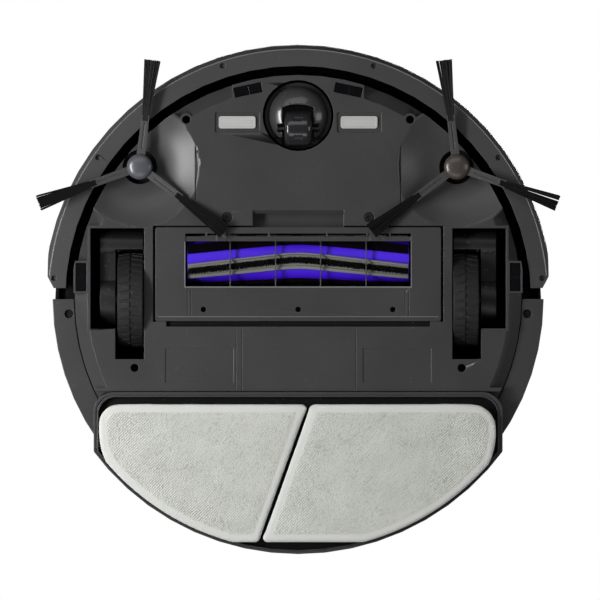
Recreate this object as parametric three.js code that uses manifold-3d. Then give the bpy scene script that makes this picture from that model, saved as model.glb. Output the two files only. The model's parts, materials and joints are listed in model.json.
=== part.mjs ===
// Robot vacuum cleaner with a wet mop module, standing on its wheels.
// Millimetres. +Z is up, the bumper faces -Y and the origin is on the floor under the middle.
// "left" is the robot's own left, +X. Helpers take a side of +1 for left and -1 for right.

import * as THREE from 'three';
import { mergeVertices } from 'three/addons/utils/BufferGeometryUtils.js';
import Module from 'manifold-3d';

const wasm = await Module();
wasm.setup();

// body
const bodyRadius = 171.5;
const chassisRadius = 156;
const bumperRadius = 178;
const bumperHalfWidth = 175;
const bumperEndY = -7.4;
const undersideZ = 10;
const shellBottomZ = 18;
const coverTopZ = 80;
const ringSegments = 60;
const wall = 2.5;
const gap = 0.4;
const meshTolerance = 0.01;

// main brush
const rollerY = -27;
const rollerZ = 26;
const rollerCoreRadius = 15.4;
const rollerTipRadius = 18.6;
const rollerHalfLength = 79;
const finBaseTop = 16.4;
const chevronTwist = THREE.MathUtils.degToRad(30);
const sweeperRadius = 17.9;
const sweeperLead = THREE.MathUtils.degToRad(55);
const guard = { halfWidth: 99.5, front: -49.7, rear: 15.5 };
const brushWindow = { halfWidth: 78.7, front: -45.5, rear: -8.5 };

// side brushes
const sideBrush = { x: 110.6, y: -92, armZ: 11.6, armReach: 37, tuftReach: 75.5 };
const sideBrushAngles = [-83, 37, 160];
const armDip = 0.1;
const dishRadius = 42.5;

// wheels
const wheel = { x: 117, y: 1, radius: 33.5, width: 18 };
const pivot = { y: -38, z: 30 };
const well = { inner: 107.4, outer: 144.9, front: -49.2, rear: 20.8, tailOuter: 127.6, tailRear: 42.2 };

// caster
const caster = {
  y: -127.7, radius: 23.6, domeRadius: 20.7, collarZ: 19, rearY: -112.4,
  wheelY: -118.8, wheelRadius: 12.5, windowHalf: 11.1,
};

// mop module
const mop = { halfWidth: 142.5, front: 65.1, tailRadius: 178, corner: 14, rearCut: 170.3 };
const splitFront = new THREE.Vector2(7.2, 75.2);
const splitRear = new THREE.Vector2(-25.2, 169);
const tank = { halfWidth: 131, front: 76, bottom: 20.5, top: 54.8 };

// top
const turret = { x: 0, y: -55, radius: 38.6 };
const lid = { halfWidth: 95.4, front: 9, rear: 128, corner: 8 };
const lidHinge = { y: 10.6, z: 78.2 };
const powerButton = { x: 0, y: -124, radius: 8 };
const homeButton = { x: 26, y: -121, radius: 6 };

// inside
const bin = { left: 30, right: -94, front: 22.5, rear: 74.5, bottom: 21, top: 70 };
const fan = { x: 70, y: 48, radius: 27 };
const ductLow = [-50, 26];
const ductHigh = [-10, 42];

// ---- shapes ----

function solid(geometry) {
  geometry.deleteAttribute('normal');
  geometry.deleteAttribute('uv');
  const merged = mergeVertices(geometry, 1e-4);
  const index = merged.index.array;
  const triangles = [];
  for (let i = 0; i < index.length; i += 3) {
    const [a, b, c] = index.slice(i, i + 3);
    if (a !== b && b !== c && c !== a) triangles.push(a, b, c);
  }
  const vertProperties = Float32Array.from(merged.attributes.position.array);
  const mesh = new wasm.Mesh({ numProp: 3, vertProperties, triVerts: Uint32Array.from(triangles) });
  return new wasm.Manifold(mesh);
}

function geometryOf(body) {
  const mesh = body.setTolerance(meshTolerance).getMesh();
  const geometry = new THREE.BufferGeometry();
  geometry.setAttribute('position', new THREE.BufferAttribute(mesh.vertProperties, 3));
  geometry.setIndex(new THREE.BufferAttribute(mesh.triVerts, 1));
  return geometry;
}

// A block from one corner to the opposite one, given in any order.
function block(x0, y0, z0, x1, y1, z1) {
  const box = new THREE.BoxGeometry(Math.abs(x1 - x0), Math.abs(y1 - y0), Math.abs(z1 - z0));
  return solid(box.translate((x0 + x1) / 2, (y0 + y1) / 2, (z0 + z1) / 2));
}

// An upright cylinder.
function post(x, y, z0, z1, radius, segments = 16) {
  const cylinder = new THREE.CylinderGeometry(radius, radius, z1 - z0, segments);
  return solid(cylinder.rotateX(Math.PI / 2).translate(x, y, (z0 + z1) / 2));
}

// A cylinder along X.
function rod(x0, x1, y, z, radius, segments = 16) {
  const cylinder = new THREE.CylinderGeometry(radius, radius, Math.abs(x1 - x0), segments);
  return solid(cylinder.rotateZ(Math.PI / 2).translate((x0 + x1) / 2, y, z));
}

// A profile of [radius, z] points turned about an upright axis at x, y.
function turned(profile, segments = ringSegments, x = 0, y = 0) {
  const points = profile.map(([radius, z]) => new THREE.Vector2(radius, z));
  const lathe = new THREE.LatheGeometry(points, segments);
  return solid(lathe.rotateX(Math.PI / 2).translate(x, y, 0));
}

// A profile of [radius, x] points turned about an axis along X.
function turnedAlongX(profile, segments) {
  const points = profile.map(([radius, x]) => new THREE.Vector2(radius, x));
  return solid(new THREE.LatheGeometry(points, segments).rotateZ(-Math.PI / 2));
}

// A plan outline raised from z0 to z1.
function slab(shape, z0, z1, curveSegments = 8) {
  const settings = { depth: z1 - z0, bevelEnabled: false, curveSegments };
  return solid(new THREE.ExtrudeGeometry(shape, settings).translate(0, 0, z0));
}

// A side outline of [y, z] points, run along X.
function sideSlab(points, x0, x1) {
  const shape = new THREE.Shape(points.map(([y, z]) => new THREE.Vector2(y, z)));
  const geometry = new THREE.ExtrudeGeometry(shape, { depth: x1 - x0, bevelEnabled: false });
  geometry.rotateX(Math.PI / 2).rotateZ(Math.PI / 2);
  return solid(geometry.translate(x0, 0, 0));
}

function roundedRect(x0, y0, x1, y1, radius) {
  const shape = new THREE.Shape();
  shape.moveTo(x0 + radius, y0);
  shape.lineTo(x1 - radius, y0);
  shape.absarc(x1 - radius, y0 + radius, radius, -Math.PI / 2, 0);
  shape.absarc(x1 - radius, y1 - radius, radius, 0, Math.PI / 2);
  shape.absarc(x0 + radius, y1 - radius, radius, Math.PI / 2, Math.PI);
  shape.absarc(x0 + radius, y0 + radius, radius, Math.PI, Math.PI * 1.5);
  return shape;
}

function ring(inner, outer, z0, z1, segments = ringSegments) {
  return turned([[inner, z0], [outer, z0], [outer, z1], [inner, z1], [inner, z0]], segments);
}

function unite(bodies) {
  return bodies.reduce((sum, body) => sum.add(body));
}

function cut(body, tools) {
  return tools.reduce((rest, tool) => rest.subtract(tool), body);
}

const bothSides = [1, -1];
const far = 300;
const frontHalf = () => block(-far, -far, 0, far, 0, 100);

// ---- materials ----

function finish(color, roughness, metalness = 0) {
  return new THREE.MeshStandardMaterial({ color, roughness, metalness });
}

const chassisPlastic = finish(0x454546, 0.55);
const shellPlastic = finish(0x3b3c3e, 0.45);
const bumperPlastic = finish(0x48494a, 0.5);
const coverPlastic = finish(0x2e2f31, 0.4);
const blackPlastic = finish(0x141415, 0.35);
const greyPlastic = finish(0x6f7072, 0.5);
const tintedWindow = finish(0x0b0b0d, 0.12);
const tyreRubber = finish(0x17181a, 0.85);
const bristleBlack = finish(0x0f0f10, 0.9);
const finGrey = finish(0x7d7d76, 0.7);
const rollerBlue = finish(0x3c12c0, 0.5);
const contactMetal = finish(0xd2d2cd, 0.3, 1);
const steel = finish(0x8d9094, 0.35, 1);
const copperBoard = finish(0x1c4a2e, 0.6);
const batteryWrap = finish(0x20324f, 0.5);
const tankPlastic = finish(0x26272a, 0.3);
const padCloth = finish(0xc6c8c1, 0.95);
const filterPaper = finish(0xe4e2da, 0.95);

// ---- node placing ----

const robot = new THREE.Group();

function place(name, body, material, parent = robot) {
  const mesh = new THREE.Mesh(geometryOf(body), material);
  mesh.name = name;
  parent.add(mesh);
  return mesh;
}

function groupAt(x, y, z, parent = robot) {
  const group = new THREE.Group();
  group.position.set(x, y, z);
  parent.add(group);
  return group;
}

// ---- lower chassis ----

const screwHoles = [[78, -124.9], [114, 48.2]];
const chassisScrew = { x: 49.5, y: -56.8, headRadius: 3.2 };
const contact = { x: 42.5, y: -123, halfWidth: 12.8, halfDepth: 4.3 };
const frontCliff = { x: 35, y: -145.6, halfLength: 9.5, halfWidth: 3.3, angle: 12 };
const sideCliff = { x: 151.4, y: -15.1, halfLength: 9.65, halfWidth: 3.5 };

// From the middle of the bowl out to its rim.
function dishProfile(radius, depth, floorZ) {
  const steps = 5;
  const profile = [[0, floorZ]];
  for (let i = steps; i >= 0; i -= 1) {
    const share = i / steps;
    profile.push([radius + (14 - radius) * share, undersideZ + depth * Math.sin(share * (Math.PI / 2))]);
  }
  return profile;
}

// The bowl round a side brush, open at the bottom.
function dishTool(side) {
  const bowl = dishProfile(dishRadius, 9, undersideZ + 9).slice(1).reverse();
  const profile = [[0, 0], [dishRadius, 0], ...bowl, [0, undersideZ + 9]];
  const x = side * sideBrush.x;
  return unite([turned(profile, 28, x, sideBrush.y), post(x, sideBrush.y, 18, 25, 11.8, 16)]);
}

function dishShell(side) {
  const x = side * sideBrush.x;
  const skin = post(x, sideBrush.y, undersideZ, 21.5, dishRadius + 2, 28);
  const seat = post(x, sideBrush.y, 20, 27, 14, 16);
  return unite([skin, seat]).intersect(post(0, 0, undersideZ, 40, chassisRadius, ringSegments));
}

function wellBox(side, grow, bottom, top) {
  const wide = block(
    side * (well.inner - grow), well.front - grow, bottom,
    side * (well.outer + grow), well.rear + grow, top,
  );
  const tail = block(
    side * (well.inner - grow), well.rear - grow, bottom,
    side * (well.tailOuter + grow), well.tailRear + grow, top,
  );
  return wide.add(tail);
}

function frontCliffBlock(side, grow, z0, z1) {
  const { halfLength, halfWidth, angle } = frontCliff;
  const box = new THREE.BoxGeometry((halfLength + grow) * 2, (halfWidth + grow) * 2, z1 - z0);
  box.rotateZ(side * THREE.MathUtils.degToRad(angle));
  return solid(box.translate(side * frontCliff.x, frontCliff.y, (z0 + z1) / 2));
}

function sideCliffBlock(side, grow, z0, z1) {
  const { x, y, halfLength, halfWidth } = sideCliff;
  return block(
    side * (x - halfWidth - grow), y - halfLength - grow, z0,
    side * (x + halfWidth + grow), y + halfLength + grow, z1,
  );
}

function contactBlock(side, grow, z0, z1) {
  const { x, y, halfWidth, halfDepth } = contact;
  const centre = side * x;
  const outline = roundedRect(
    centre - halfWidth - grow, y - halfDepth - grow,
    centre + halfWidth + grow, y + halfDepth + grow, 1.5,
  );
  return slab(outline, z0, z1, 3);
}

function moduleOutline(inset) {
  const x = mop.halfWidth - inset;
  return roundedRect(-x, mop.front + inset, x, 200, mop.corner - inset / 2);
}

function makeChassis() {
  const tray = turned([
    [0, 10], [147, 10], [chassisRadius, 18], [chassisRadius, 34],
    [chassisRadius - wall, 34], [chassisRadius - wall, 19.2], [146.4, 13], [0, 13],
  ]);
  const frontWall = ring(chassisRadius - wall, chassisRadius, 19, 70).intersect(frontHalf());
  const nose = post(0, 0, undersideZ, 18.5, chassisRadius, ringSegments)
    .intersect(block(-46, -160, 0, 46, -139, 20));
  const guardBed = block(-102, -52, 10, 102, 21.5, 15.3);
  const tunnel = block(-88, -50.2, 10, 88, -4, 49.4);
  const duct = block(-52, -5, 24, -8, 22, 44);
  const fingerBox = block(-34.5, -65, 10, 34.5, -50, 21);
  const casterBox = post(0, caster.y, undersideZ, 46, caster.radius + 3.4, 32);
  const rearStep = block(-144.5, 62, undersideZ, 144.5, 64.6, 19.5)
    .intersect(post(0, 0, 0, 30, 155, ringSegments));
  const rearDeck = post(0, 0, 17, 19.5, 154, ringSegments)
    .intersect(block(-154, 62, 0, 154, 160, 30));
  const body = [tray, frontWall, nose, guardBed, tunnel, duct, fingerBox, casterBox, rearStep, rearDeck];

  const guardBay = block(-99.8, -50, 0, 99.8, 15.8, 12.8);
  const guardGroove = block(-92, 15, 0, 92, 19.5, 12.8);
  const brushBay = block(-86, -47.8, 0, 86, -6.2, 47);
  const ductBore = block(ductLow[0], -10, ductLow[1], ductHigh[0], 30, ductHigh[1]);
  const fingerOutline = [[-63, 9], [-62, 10], [-59.6, 12.4], [-59.6, 19], [-49.8, 19], [-49.8, 9]];
  const fingerRecess = sideSlab(fingerOutline, -31.8, 31.8);
  const casterBore = post(0, caster.y, 0, 44, caster.radius + 1.2, 32);
  const moduleBay = slab(moduleOutline(-0.6), 0, 16.8, 6);
  const tankBay = block(-tank.halfWidth - 0.8, tank.front - 0.8, 19.9, tank.halfWidth + 0.8, 200, 60);
  const tools = [guardBay, guardGroove, brushBay, ductBore, fingerRecess, casterBore, moduleBay, tankBay];

  for (const side of bothSides) {
    body.push(dishShell(side), wellBox(side, 1.8, undersideZ, 72));
    body.push(sideCliffBlock(side, 1.6, undersideZ, 19).intersect(post(0, 0, 0, 30, 158, ringSegments)));
    tools.push(dishTool(side), wellBox(side, 0, 0, 70.2));
    tools.push(frontCliffBlock(side, 0.3, 0, 14), sideCliffBlock(side, 0.3, 0, 14));
    tools.push(contactBlock(side, 2.9, 0, 11.2));
    tools.push(block(side * 45, 34.5, 0, side * 92.8, 58.5, 10.6));
    for (const [x, y] of screwHoles) {
      body.push(post(side * x, y, undersideZ, 19, 4.6, 12));
      tools.push(post(side * x, y, 0, 17.5, 2.9, 12));
    }
    body.push(post(side * chassisScrew.x, chassisScrew.y, undersideZ, 21, 5.3, 12));
    tools.push(post(side * chassisScrew.x, chassisScrew.y, 0, 12.8, 3.6, 16));
    tools.push(post(side * chassisScrew.x, chassisScrew.y, 9, 19.5, 1.8, 8));
  }
  return cut(unite(body), tools);
}

function addChassisParts() {
  place('lower_chassis', makeChassis(), chassisPlastic);
  for (const side of bothSides) {
    const hand = side > 0 ? 'left' : 'right';
    place(`charge_contact_${hand}`, contactBlock(side, 0, 9.9, 10.9), contactMetal);
    place(`cliff_sensor_front_${hand}`, frontCliffBlock(side, 0, 10.6, 13.6), tintedWindow);
    place(`cliff_sensor_side_${hand}`, sideCliffBlock(side, 0, 10.6, 13.6), tintedWindow);
    const screwSeat = groupAt(side * chassisScrew.x, chassisScrew.y, 10.3);
    place(`chassis_screw_${hand}`, makeScrew(), steel, screwSeat);
  }
}

function makeScrew() {
  const head = post(0, 0, 0, 2, chassisScrew.headRadius, 16);
  const shank = post(0, 0, 1.8, 8.6, 1.4, 8);
  const cross = [block(-2, -0.45, -1, 2, 0.45, 1), block(-0.45, -2, -1, 0.45, 2, 1)];
  return cut(head.add(shank), cross);
}

// ---- shells ----

function makeRearShell() {
  const outer = bodyRadius;
  const inner = bodyRadius - wall;
  const profile = [
    [156.6, shellBottomZ], [outer, shellBottomZ], [outer, 71.5], [inner, 71.5],
    [inner, shellBottomZ + wall], [156.6, shellBottomZ + wall], [156.6, shellBottomZ],
  ];
  const half = turned(profile).intersect(block(-far, 0.2, 0, far, far, 100));
  const tankMouth = block(-tank.halfWidth - 0.8, 75, 0, tank.halfWidth + 0.8, 200, tank.top + 0.8);
  const tools = [tankMouth];
  for (const side of bothSides) tools.push(post(side * 160, 10.5, 0, 20, 3.1, 12));
  const ventCount = 7;
  for (let i = 0; i < ventCount; i += 1) {
    const angle = THREE.MathUtils.degToRad(12 + i * 2.6);
    const slot = new THREE.BoxGeometry(20, 3, 16).translate(bodyRadius, 0, 48).rotateZ(angle);
    tools.push(solid(slot));
  }
  return cut(half, tools);
}

const bumperWindow = { halfWidth: 34, bottom: 34, top: 52 };

function makeBumper() {
  const skin = turned([
    [162.5, 14], [173.8, 14], [175.8, 18.5], [177.3, 26], [bumperRadius, 33.5], [bumperRadius, 66],
    [175, 70.5], [167, 70.5], [167, 68], [173.8, 68], [175.4, 65.4], [175.4, 33.5], [174.7, 26.5],
    [173.2, 19.6], [171.8, 16.8], [162.5, 16.8], [162.5, 14],
  ]);
  const fill = turned([
    [163, 14.4], [173.4, 14.4], [175.2, 18.6], [176.7, 26], [177.4, 33.5], [177.4, 65.8], [174.8, 70],
    [163, 70], [163, 14.4],
  ]);
  const span = block(-bumperHalfWidth, -far, 0, bumperHalfWidth, bumperEndY, 100);
  const endStrip = block(-bumperHalfWidth, bumperEndY - wall, 0, bumperHalfWidth, bumperEndY, 100);
  const endCaps = fill.intersect(endStrip);
  const tools = [ring(bumperRadius - 2.1, bumperRadius + 5, bumperWindow.bottom, bumperWindow.top)
    .intersect(block(-bumperWindow.halfWidth, -far, 0, bumperWindow.halfWidth, -100, 100))];
  for (const side of bothSides) {
    const corner = new THREE.Shape([
      new THREE.Vector2(side * 170, bumperEndY + 1), new THREE.Vector2(side * 180, bumperEndY + 1),
      new THREE.Vector2(side * 180, -24.6),
    ]);
    tools.push(slab(corner, 0, 100));
    for (const degrees of [4.8, 35.2, 72]) {
      const angle = THREE.MathUtils.degToRad(degrees);
      tools.push(post(side * 170.8 * Math.cos(angle), -170.8 * Math.sin(angle), 0, 16.2, 2, 10));
    }
  }
  return cut(skin.intersect(span).add(endCaps), tools);
}

function makeBumperWindow() {
  const { halfWidth, bottom, top } = bumperWindow;
  return ring(bumperRadius - 1.7, bumperRadius, bottom + gap, top - gap)
    .intersect(block(-halfWidth + gap, -far, 0, halfWidth - gap, -100, 100));
}

function makeBumperSwitch(side) {
  const body = new THREE.BoxGeometry(7, 14, 9).translate(160.2, 0, 0);
  const plunger = new THREE.BoxGeometry(7, 3, 3).translate(166, 0, 0);
  const angle = THREE.MathUtils.degToRad(side > 0 ? -58 : -122);
  const turnedBody = solid(body.rotateZ(angle).translate(0, 0, 40));
  return turnedBody.add(solid(plunger.rotateZ(angle).translate(0, 0, 40)));
}

function makeTopCover() {
  const deck = turned([
    [0, coverTopZ - wall], [166.5, coverTopZ - wall], [168.8, 75.2], [168.8, 72], [bodyRadius, 72],
    [bodyRadius, 77], [168.5, coverTopZ], [0, coverTopZ],
  ]);
  const turretHole = post(turret.x, turret.y, 70, 90, turret.radius + gap, 36);
  const holeHalf = lid.halfWidth + 0.6;
  const holeOutline = roundedRect(-holeHalf, 7, holeHalf, lid.rear + 0.6, lid.corner - 2);
  const lidHole = slab(holeOutline, 70, 90, 6);
  const pinSockets = block(-98.6, lidHinge.y - 1.4, 70, 98.6, lidHinge.y + 1.4, 79.6);
  const fingerNotch = slab(roundedRect(-16, lid.rear - 2, 16, lid.rear + 7, 4), 78.4, 90, 4);
  const buttonHoles = [powerButton, homeButton]
    .map(({ x, y, radius }) => post(x, y, 70, 90, radius + gap, 24));
  return cut(deck, [turretHole, lidHole, pinSockets, fingerNotch, ...buttonHoles]);
}

function makeLid() {
  const { halfWidth, front, rear, corner } = lid;
  const panel = slab(roundedRect(-halfWidth, front, halfWidth, rear, corner), 77.6, coverTopZ, 6);
  const pins = rod(-98, 98, lidHinge.y, lidHinge.z, 1, 12)
    .intersect(unite([block(-99, 0, 70, -88, 20, 90), block(88, 0, 70, 99, 20, 90)]));
  return panel.add(pins);
}

function makeButton({ radius }) {
  return turned([
    [0, -4], [2, -4], [2, -1.8], [radius, -1.8], [radius, 2.3], [radius - 0.6, 2.9], [0, 2.9],
  ], 20);
}

function addShells() {
  place('rear_shell', makeRearShell(), shellPlastic);
  place('bumper', makeBumper(), bumperPlastic);
  place('bumper_window', makeBumperWindow(), tintedWindow);
  place('bumper_switch_left', makeBumperSwitch(1), blackPlastic);
  place('bumper_switch_right', makeBumperSwitch(-1), blackPlastic);
  place('top_cover', makeTopCover(), coverPlastic);
  place('bin_lid', makeLid(), coverPlastic);
  place('power_button', makeButton(powerButton), greyPlastic, groupAt(powerButton.x, powerButton.y, 78));
  place('home_button', makeButton(homeButton), greyPlastic, groupAt(homeButton.x, homeButton.y, 78));
}

// ---- distance sensor turret ----

function makeLidarBase() {
  return turned([
    [0, 64], [turret.radius, 64], [turret.radius, 81], [turret.radius - 1.4, 82.4], [30, 82.4],
    [30, 80], [5, 80], [5, 76], [0, 76],
  ], 32);
}

function makeLidarRotor() {
  const spindle = post(0, 0, 76.4, 82, 4.4, 16);
  const drum = post(0, 0, 80.6, 92.4, 27, 32);
  const flat = block(-30, -30, 82.6, 30, -19, 93);
  const eyes = bothSides.map((side) => block(side * 3, -22, 84.6, side * 13, -16, 91));
  return cut(drum.add(spindle), [flat, ...eyes]);
}

function makeLidarCap() {
  const disc = turned([[0, 93], [36, 93], [37.4, 94.4], [36.4, 96.4], [34, 97], [0, 97]], 32);
  const posts = [45, 135, 225, 315].map((degrees) => {
    const post4 = new THREE.BoxGeometry(3.4, 8, 11).translate(33.2, 0, 88.2);
    return solid(post4.rotateZ(THREE.MathUtils.degToRad(degrees)));
  });
  return unite([disc, ...posts]);
}

function addTurret() {
  const head = groupAt(turret.x, turret.y, 0);
  place('lidar_base', makeLidarBase(), coverPlastic, head);
  place('lidar_rotor', makeLidarRotor(), blackPlastic, head);
  place('lidar_cap', makeLidarCap(), greyPlastic, head);
}

// ---- caster ----

function makeCasterHousing() {
  const dome = turned([
    [0, 5.2], [9, 5.9], [15.4, 8.3], [19.2, 12], [caster.domeRadius, 16.6],
    [caster.domeRadius, caster.collarZ], [caster.radius, caster.collarZ], [caster.radius, 28],
    [6, 28], [6, 41], [0, 41],
  ], 32, 0, caster.y);
  const openRear = block(-30, caster.rearY, 0, 30, caster.y + 40, caster.collarZ + 2);
  const window = block(-caster.windowHalf, caster.y - 7, 0, caster.windowHalf, caster.y + 30, 27);
  const axleBore = rod(-16.2, 16.2, caster.wheelY, caster.wheelRadius, 1.8, 12);
  return cut(dome, [window, openRear, axleBore]);
}

function makeCasterWheel() {
  const r = caster.wheelRadius;
  return turnedAlongX([
    [1.8, -9.9], [r - 2, -9.9], [r, -6.5], [r, 6.5], [r - 2, 9.9], [1.8, 9.9], [1.8, -9.9],
  ], 28);
}

function addCaster() {
  place('caster_housing', makeCasterHousing(), greyPlastic);
  place('caster_axle', rod(-15.8, 15.8, caster.wheelY, caster.wheelRadius, 1.45, 12), steel);
  place('caster_wheel', makeCasterWheel(), blackPlastic, groupAt(0, caster.wheelY, caster.wheelRadius));
}

// ---- drive wheels ----

function makeArm(side) {
  const inner = side * 127.6;
  const outer = side * 138.4;
  const nose = rod(side * 108.4, outer, pivot.y, pivot.z, 10.4, 24)
    .subtract(block(side * 100, -34.4, 0, inner, 20, 80));
  const bodies = [
    nose,
    rod(inner, outer, wheel.y, wheel.radius, 18, 24),
    rod(inner, outer, pivot.y + 2, 56, 9, 16),
    block(inner, pivot.y, pivot.z - 8, outer, wheel.y, pivot.z + 16),
    block(inner, pivot.y - 6, pivot.z, outer, pivot.y + 10, 56),
  ];
  const shaftBore = rod(side * 126, side * 139, wheel.y, wheel.radius, 3.5, 12);
  return unite(bodies).subtract(shaftBore);
}

function makeHub() {
  const rim = turnedAlongX([
    [0, -9], [9, -9], [9, -6], [22, -6], [24, -8], [25.6, -8], [25.6, 8], [0, 8],
  ], 28);
  return rim.add(rod(7, 20.4, 0, 0, 3.1, 12));
}

function makeTyre() {
  const r = wheel.radius;
  const half = wheel.width / 2;
  return turnedAlongX([
    [25.9, -half], [r - 1.6, -half], [r, -half + 2.4], [r, half - 2.4], [r - 1.6, half],
    [25.9, half], [25.9, -half],
  ], 40);
}

function addDriveWheels() {
  for (const side of bothSides) {
    const hand = side > 0 ? 'left' : 'right';
    place(`suspension_arm_${hand}`, makeArm(side), blackPlastic);
    place(`drive_motor_${hand}`, rod(side * 109, side * 127.2, pivot.y + 2, 56, 7.5, 16), steel);
    const spin = groupAt(side * wheel.x, wheel.y, wheel.radius);
    spin.rotation.z = side > 0 ? 0 : Math.PI;
    place(`wheel_hub_${hand}`, makeHub(), greyPlastic, spin);
    place(`tyre_${hand}`, makeTyre(), tyreRubber, spin);
  }
}

// ---- main brush ----

function makeGuard() {
  const { halfWidth, front, rear } = guard;
  const plate = slab(roundedRect(-halfWidth, front, halfWidth, rear, 1.5), 9.6, 12.4, 3);
  const openHalf = brushWindow.halfWidth;
  const hole = block(-openHalf, brushWindow.front, 0, openHalf, brushWindow.rear, 20);
  const bar = block(-halfWidth + 5, -43.4, 10.4, halfWidth - 5, -40.1, 12.4);
  const wires = [-47.4, -15.7, 15.7, 47.4].flatMap((x) => [
    turnedAlongX([[19.4, x - 0.4], [20.9, x - 0.4], [20.9, x + 0.4], [19.4, x + 0.4], [19.4, x - 0.4]], 24),
    block(x - 0.4, 13, -15.8, x + 0.4, 19, -13.6),
  ]).map((wire) => wire.intersect(block(-100, -30, -30, 100, 30, 12.4 - rollerZ)));
  const ribs = geometryOf(unite(wires)).translate(0, rollerY, rollerZ);
  const holes = [-66, 0, 66].map((x) => post(x, 7.5, 0, 20, 2, 12));
  const tabs = bothSides.map((side) => block(side * 50, brushWindow.front - 1, 10, side * 57, -40.2, 12.4));
  return cut(unite([plate.subtract(hole), bar, solid(ribs), ...tabs]), holes);
}

// A blade along the roller, twisted into a chevron with its point in the middle.
function makeBlade(thickness, innerRadius, outerRadius, halfLength = rollerHalfLength - 3.2) {
  const steps = 16;
  const length = halfLength * 2;
  const height = outerRadius - innerRadius;
  const blade = new THREE.BoxGeometry(length, thickness, height, steps, 1, 1);
  blade.translate(0, 0, (innerRadius + outerRadius) / 2);
  const position = blade.attributes.position;
  const spot = new THREE.Vector3();
  const alongX = new THREE.Vector3(1, 0, 0);
  for (let i = 0; i < position.count; i += 1) {
    spot.fromBufferAttribute(position, i);
    spot.applyAxisAngle(alongX, (chevronTwist * Math.abs(spot.x)) / rollerHalfLength);
    position.setXYZ(i, spot.x, spot.y, spot.z);
  }
  return solid(blade);
}

// Two rubber lips on one strip, with room between them for the bristles.
function makeFins() {
  const root = rollerCoreRadius + gap;
  const front = makeBlade(1.5, root, rollerTipRadius - 0.5).rotate([-15, 0, 0]);
  const rear = makeBlade(2.4, root, rollerTipRadius - 1).rotate([17, 0, 0]);
  return unite([makeBlade(8.4, root, finBaseTop), front, rear]);
}

// Three dark strips between the fins, held together by a thin ring at each end.
function makeSweeper() {
  const root = rollerCoreRadius + gap;
  const end = rollerHalfLength - 1.6;
  const strips = [0, 1, 2].map((i) => makeBlade(7.6, root, sweeperRadius, end).rotate([i * 120, 0, 0]));
  const rings = [-end, end - 1.2].map((x) => turnedAlongX([
    [root, x], [finBaseTop, x], [finBaseTop, x + 1.2], [root, x + 1.2], [root, x],
  ], 24));
  return unite([...strips, ...rings]);
}

function makeRollerCore() {
  const r = rollerCoreRadius;
  const shoulder = rollerHalfLength - 1.2;
  const end = rollerHalfLength + 3;
  return turnedAlongX([
    [0, -end - 3], [4, -end - 3], [4, -end], [13.2, -end], [13.2, -shoulder], [r, -shoulder],
    [r, shoulder], [13.2, shoulder], [13.2, end], [4, end], [4, end + 3], [0, end + 3],
  ], 24);
}

function addMainBrush() {
  place('brush_guard', makeGuard(), chassisPlastic);
  const roller = groupAt(0, rollerY, rollerZ);
  place('roller_core', makeRollerCore(), rollerBlue, roller);
  for (let i = 0; i < 3; i += 1) {
    const turn = new THREE.Group();
    turn.rotation.x = Math.PI / 3 + (i / 3) * Math.PI * 2;
    roller.add(turn);
    place(`roller_bristle_${i + 1}`, makeBlade(3.2, finBaseTop + gap, rollerTipRadius), bristleBlack, turn);
    place(`roller_fin_${i + 1}`, makeFins(), finGrey, turn);
  }
  const between = new THREE.Group();
  between.rotation.x = Math.PI - sweeperLead;
  roller.add(between);
  place('roller_sweeper', makeSweeper(), bristleBlack, between);
  const gearCase = block(-104.8, -40, 16, -88.6, -14, 71);
  const motor = rod(-90, -52, rollerY, 60.5, 10, 16);
  place('roller_motor', gearCase.add(motor), steel);
}

// ---- side brushes ----

function makeSideBrush(side) {
  const cap = turned([
    [0, 5.8], [4, 6.1], [7.4, 7.4], [9.2, 9.6], [9.4, 13], [5, 15], [4, 15], [4, 23.6], [0, 23.6],
  ], 16);
  const arms = sideBrushAngles.map((degrees) => {
    const arm = new THREE.BoxGeometry(sideBrush.armReach - 5, 6, 2.4);
    arm.translate(sideBrush.armReach / 2 + 2.5, 0, 0);
    const tuft = tuftGeometry();
    const angle = THREE.MathUtils.degToRad(side > 0 ? 180 - degrees : degrees);
    const lean = (piece) => piece.rotateY(armDip).rotateZ(angle).translate(0, 0, sideBrush.armZ);
    return unite([arm, tuft].map((piece) => solid(lean(piece))));
  });
  return unite([cap, ...arms]);
}

// A bundle of bristles that widens towards its tip.
function tuftGeometry() {
  const { armReach, tuftReach } = sideBrush;
  const length = tuftReach - armReach + 2;
  const tuft = new THREE.BoxGeometry(length, 1, 1).translate(armReach - 2 + length / 2, 0, 0);
  const position = tuft.attributes.position;
  for (let i = 0; i < position.count; i += 1) {
    const out = position.getX(i) > armReach + 1;
    position.setY(i, position.getY(i) * (out ? 11 : 4));
    position.setZ(i, position.getZ(i) * (out ? 1.6 : 2));
  }
  return tuft;
}

function addSideBrushes() {
  for (const side of bothSides) {
    const hand = side > 0 ? 'left' : 'right';
    const spin = groupAt(side * sideBrush.x, sideBrush.y, 0);
    place(`side_brush_${hand}`, makeSideBrush(side), blackPlastic, spin);
    place(`side_brush_motor_${hand}`, post(0, 0, 27.5, 50, 8.8, 16), steel, spin);
  }
}

// ---- mop module ----

// Everything on one side of the diagonal split, as a tall block to cut with.
function beyondSplit(side, clearance) {
  const along = splitRear.clone().sub(splitFront);
  const angle = Math.atan2(along.y, along.x);
  const reach = 400;
  const half = new THREE.BoxGeometry(reach, reach, 60).translate(0, -side * (reach / 2 + clearance), 0);
  return solid(half.rotateZ(angle).translate(splitFront.x, splitFront.y, 0));
}

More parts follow.
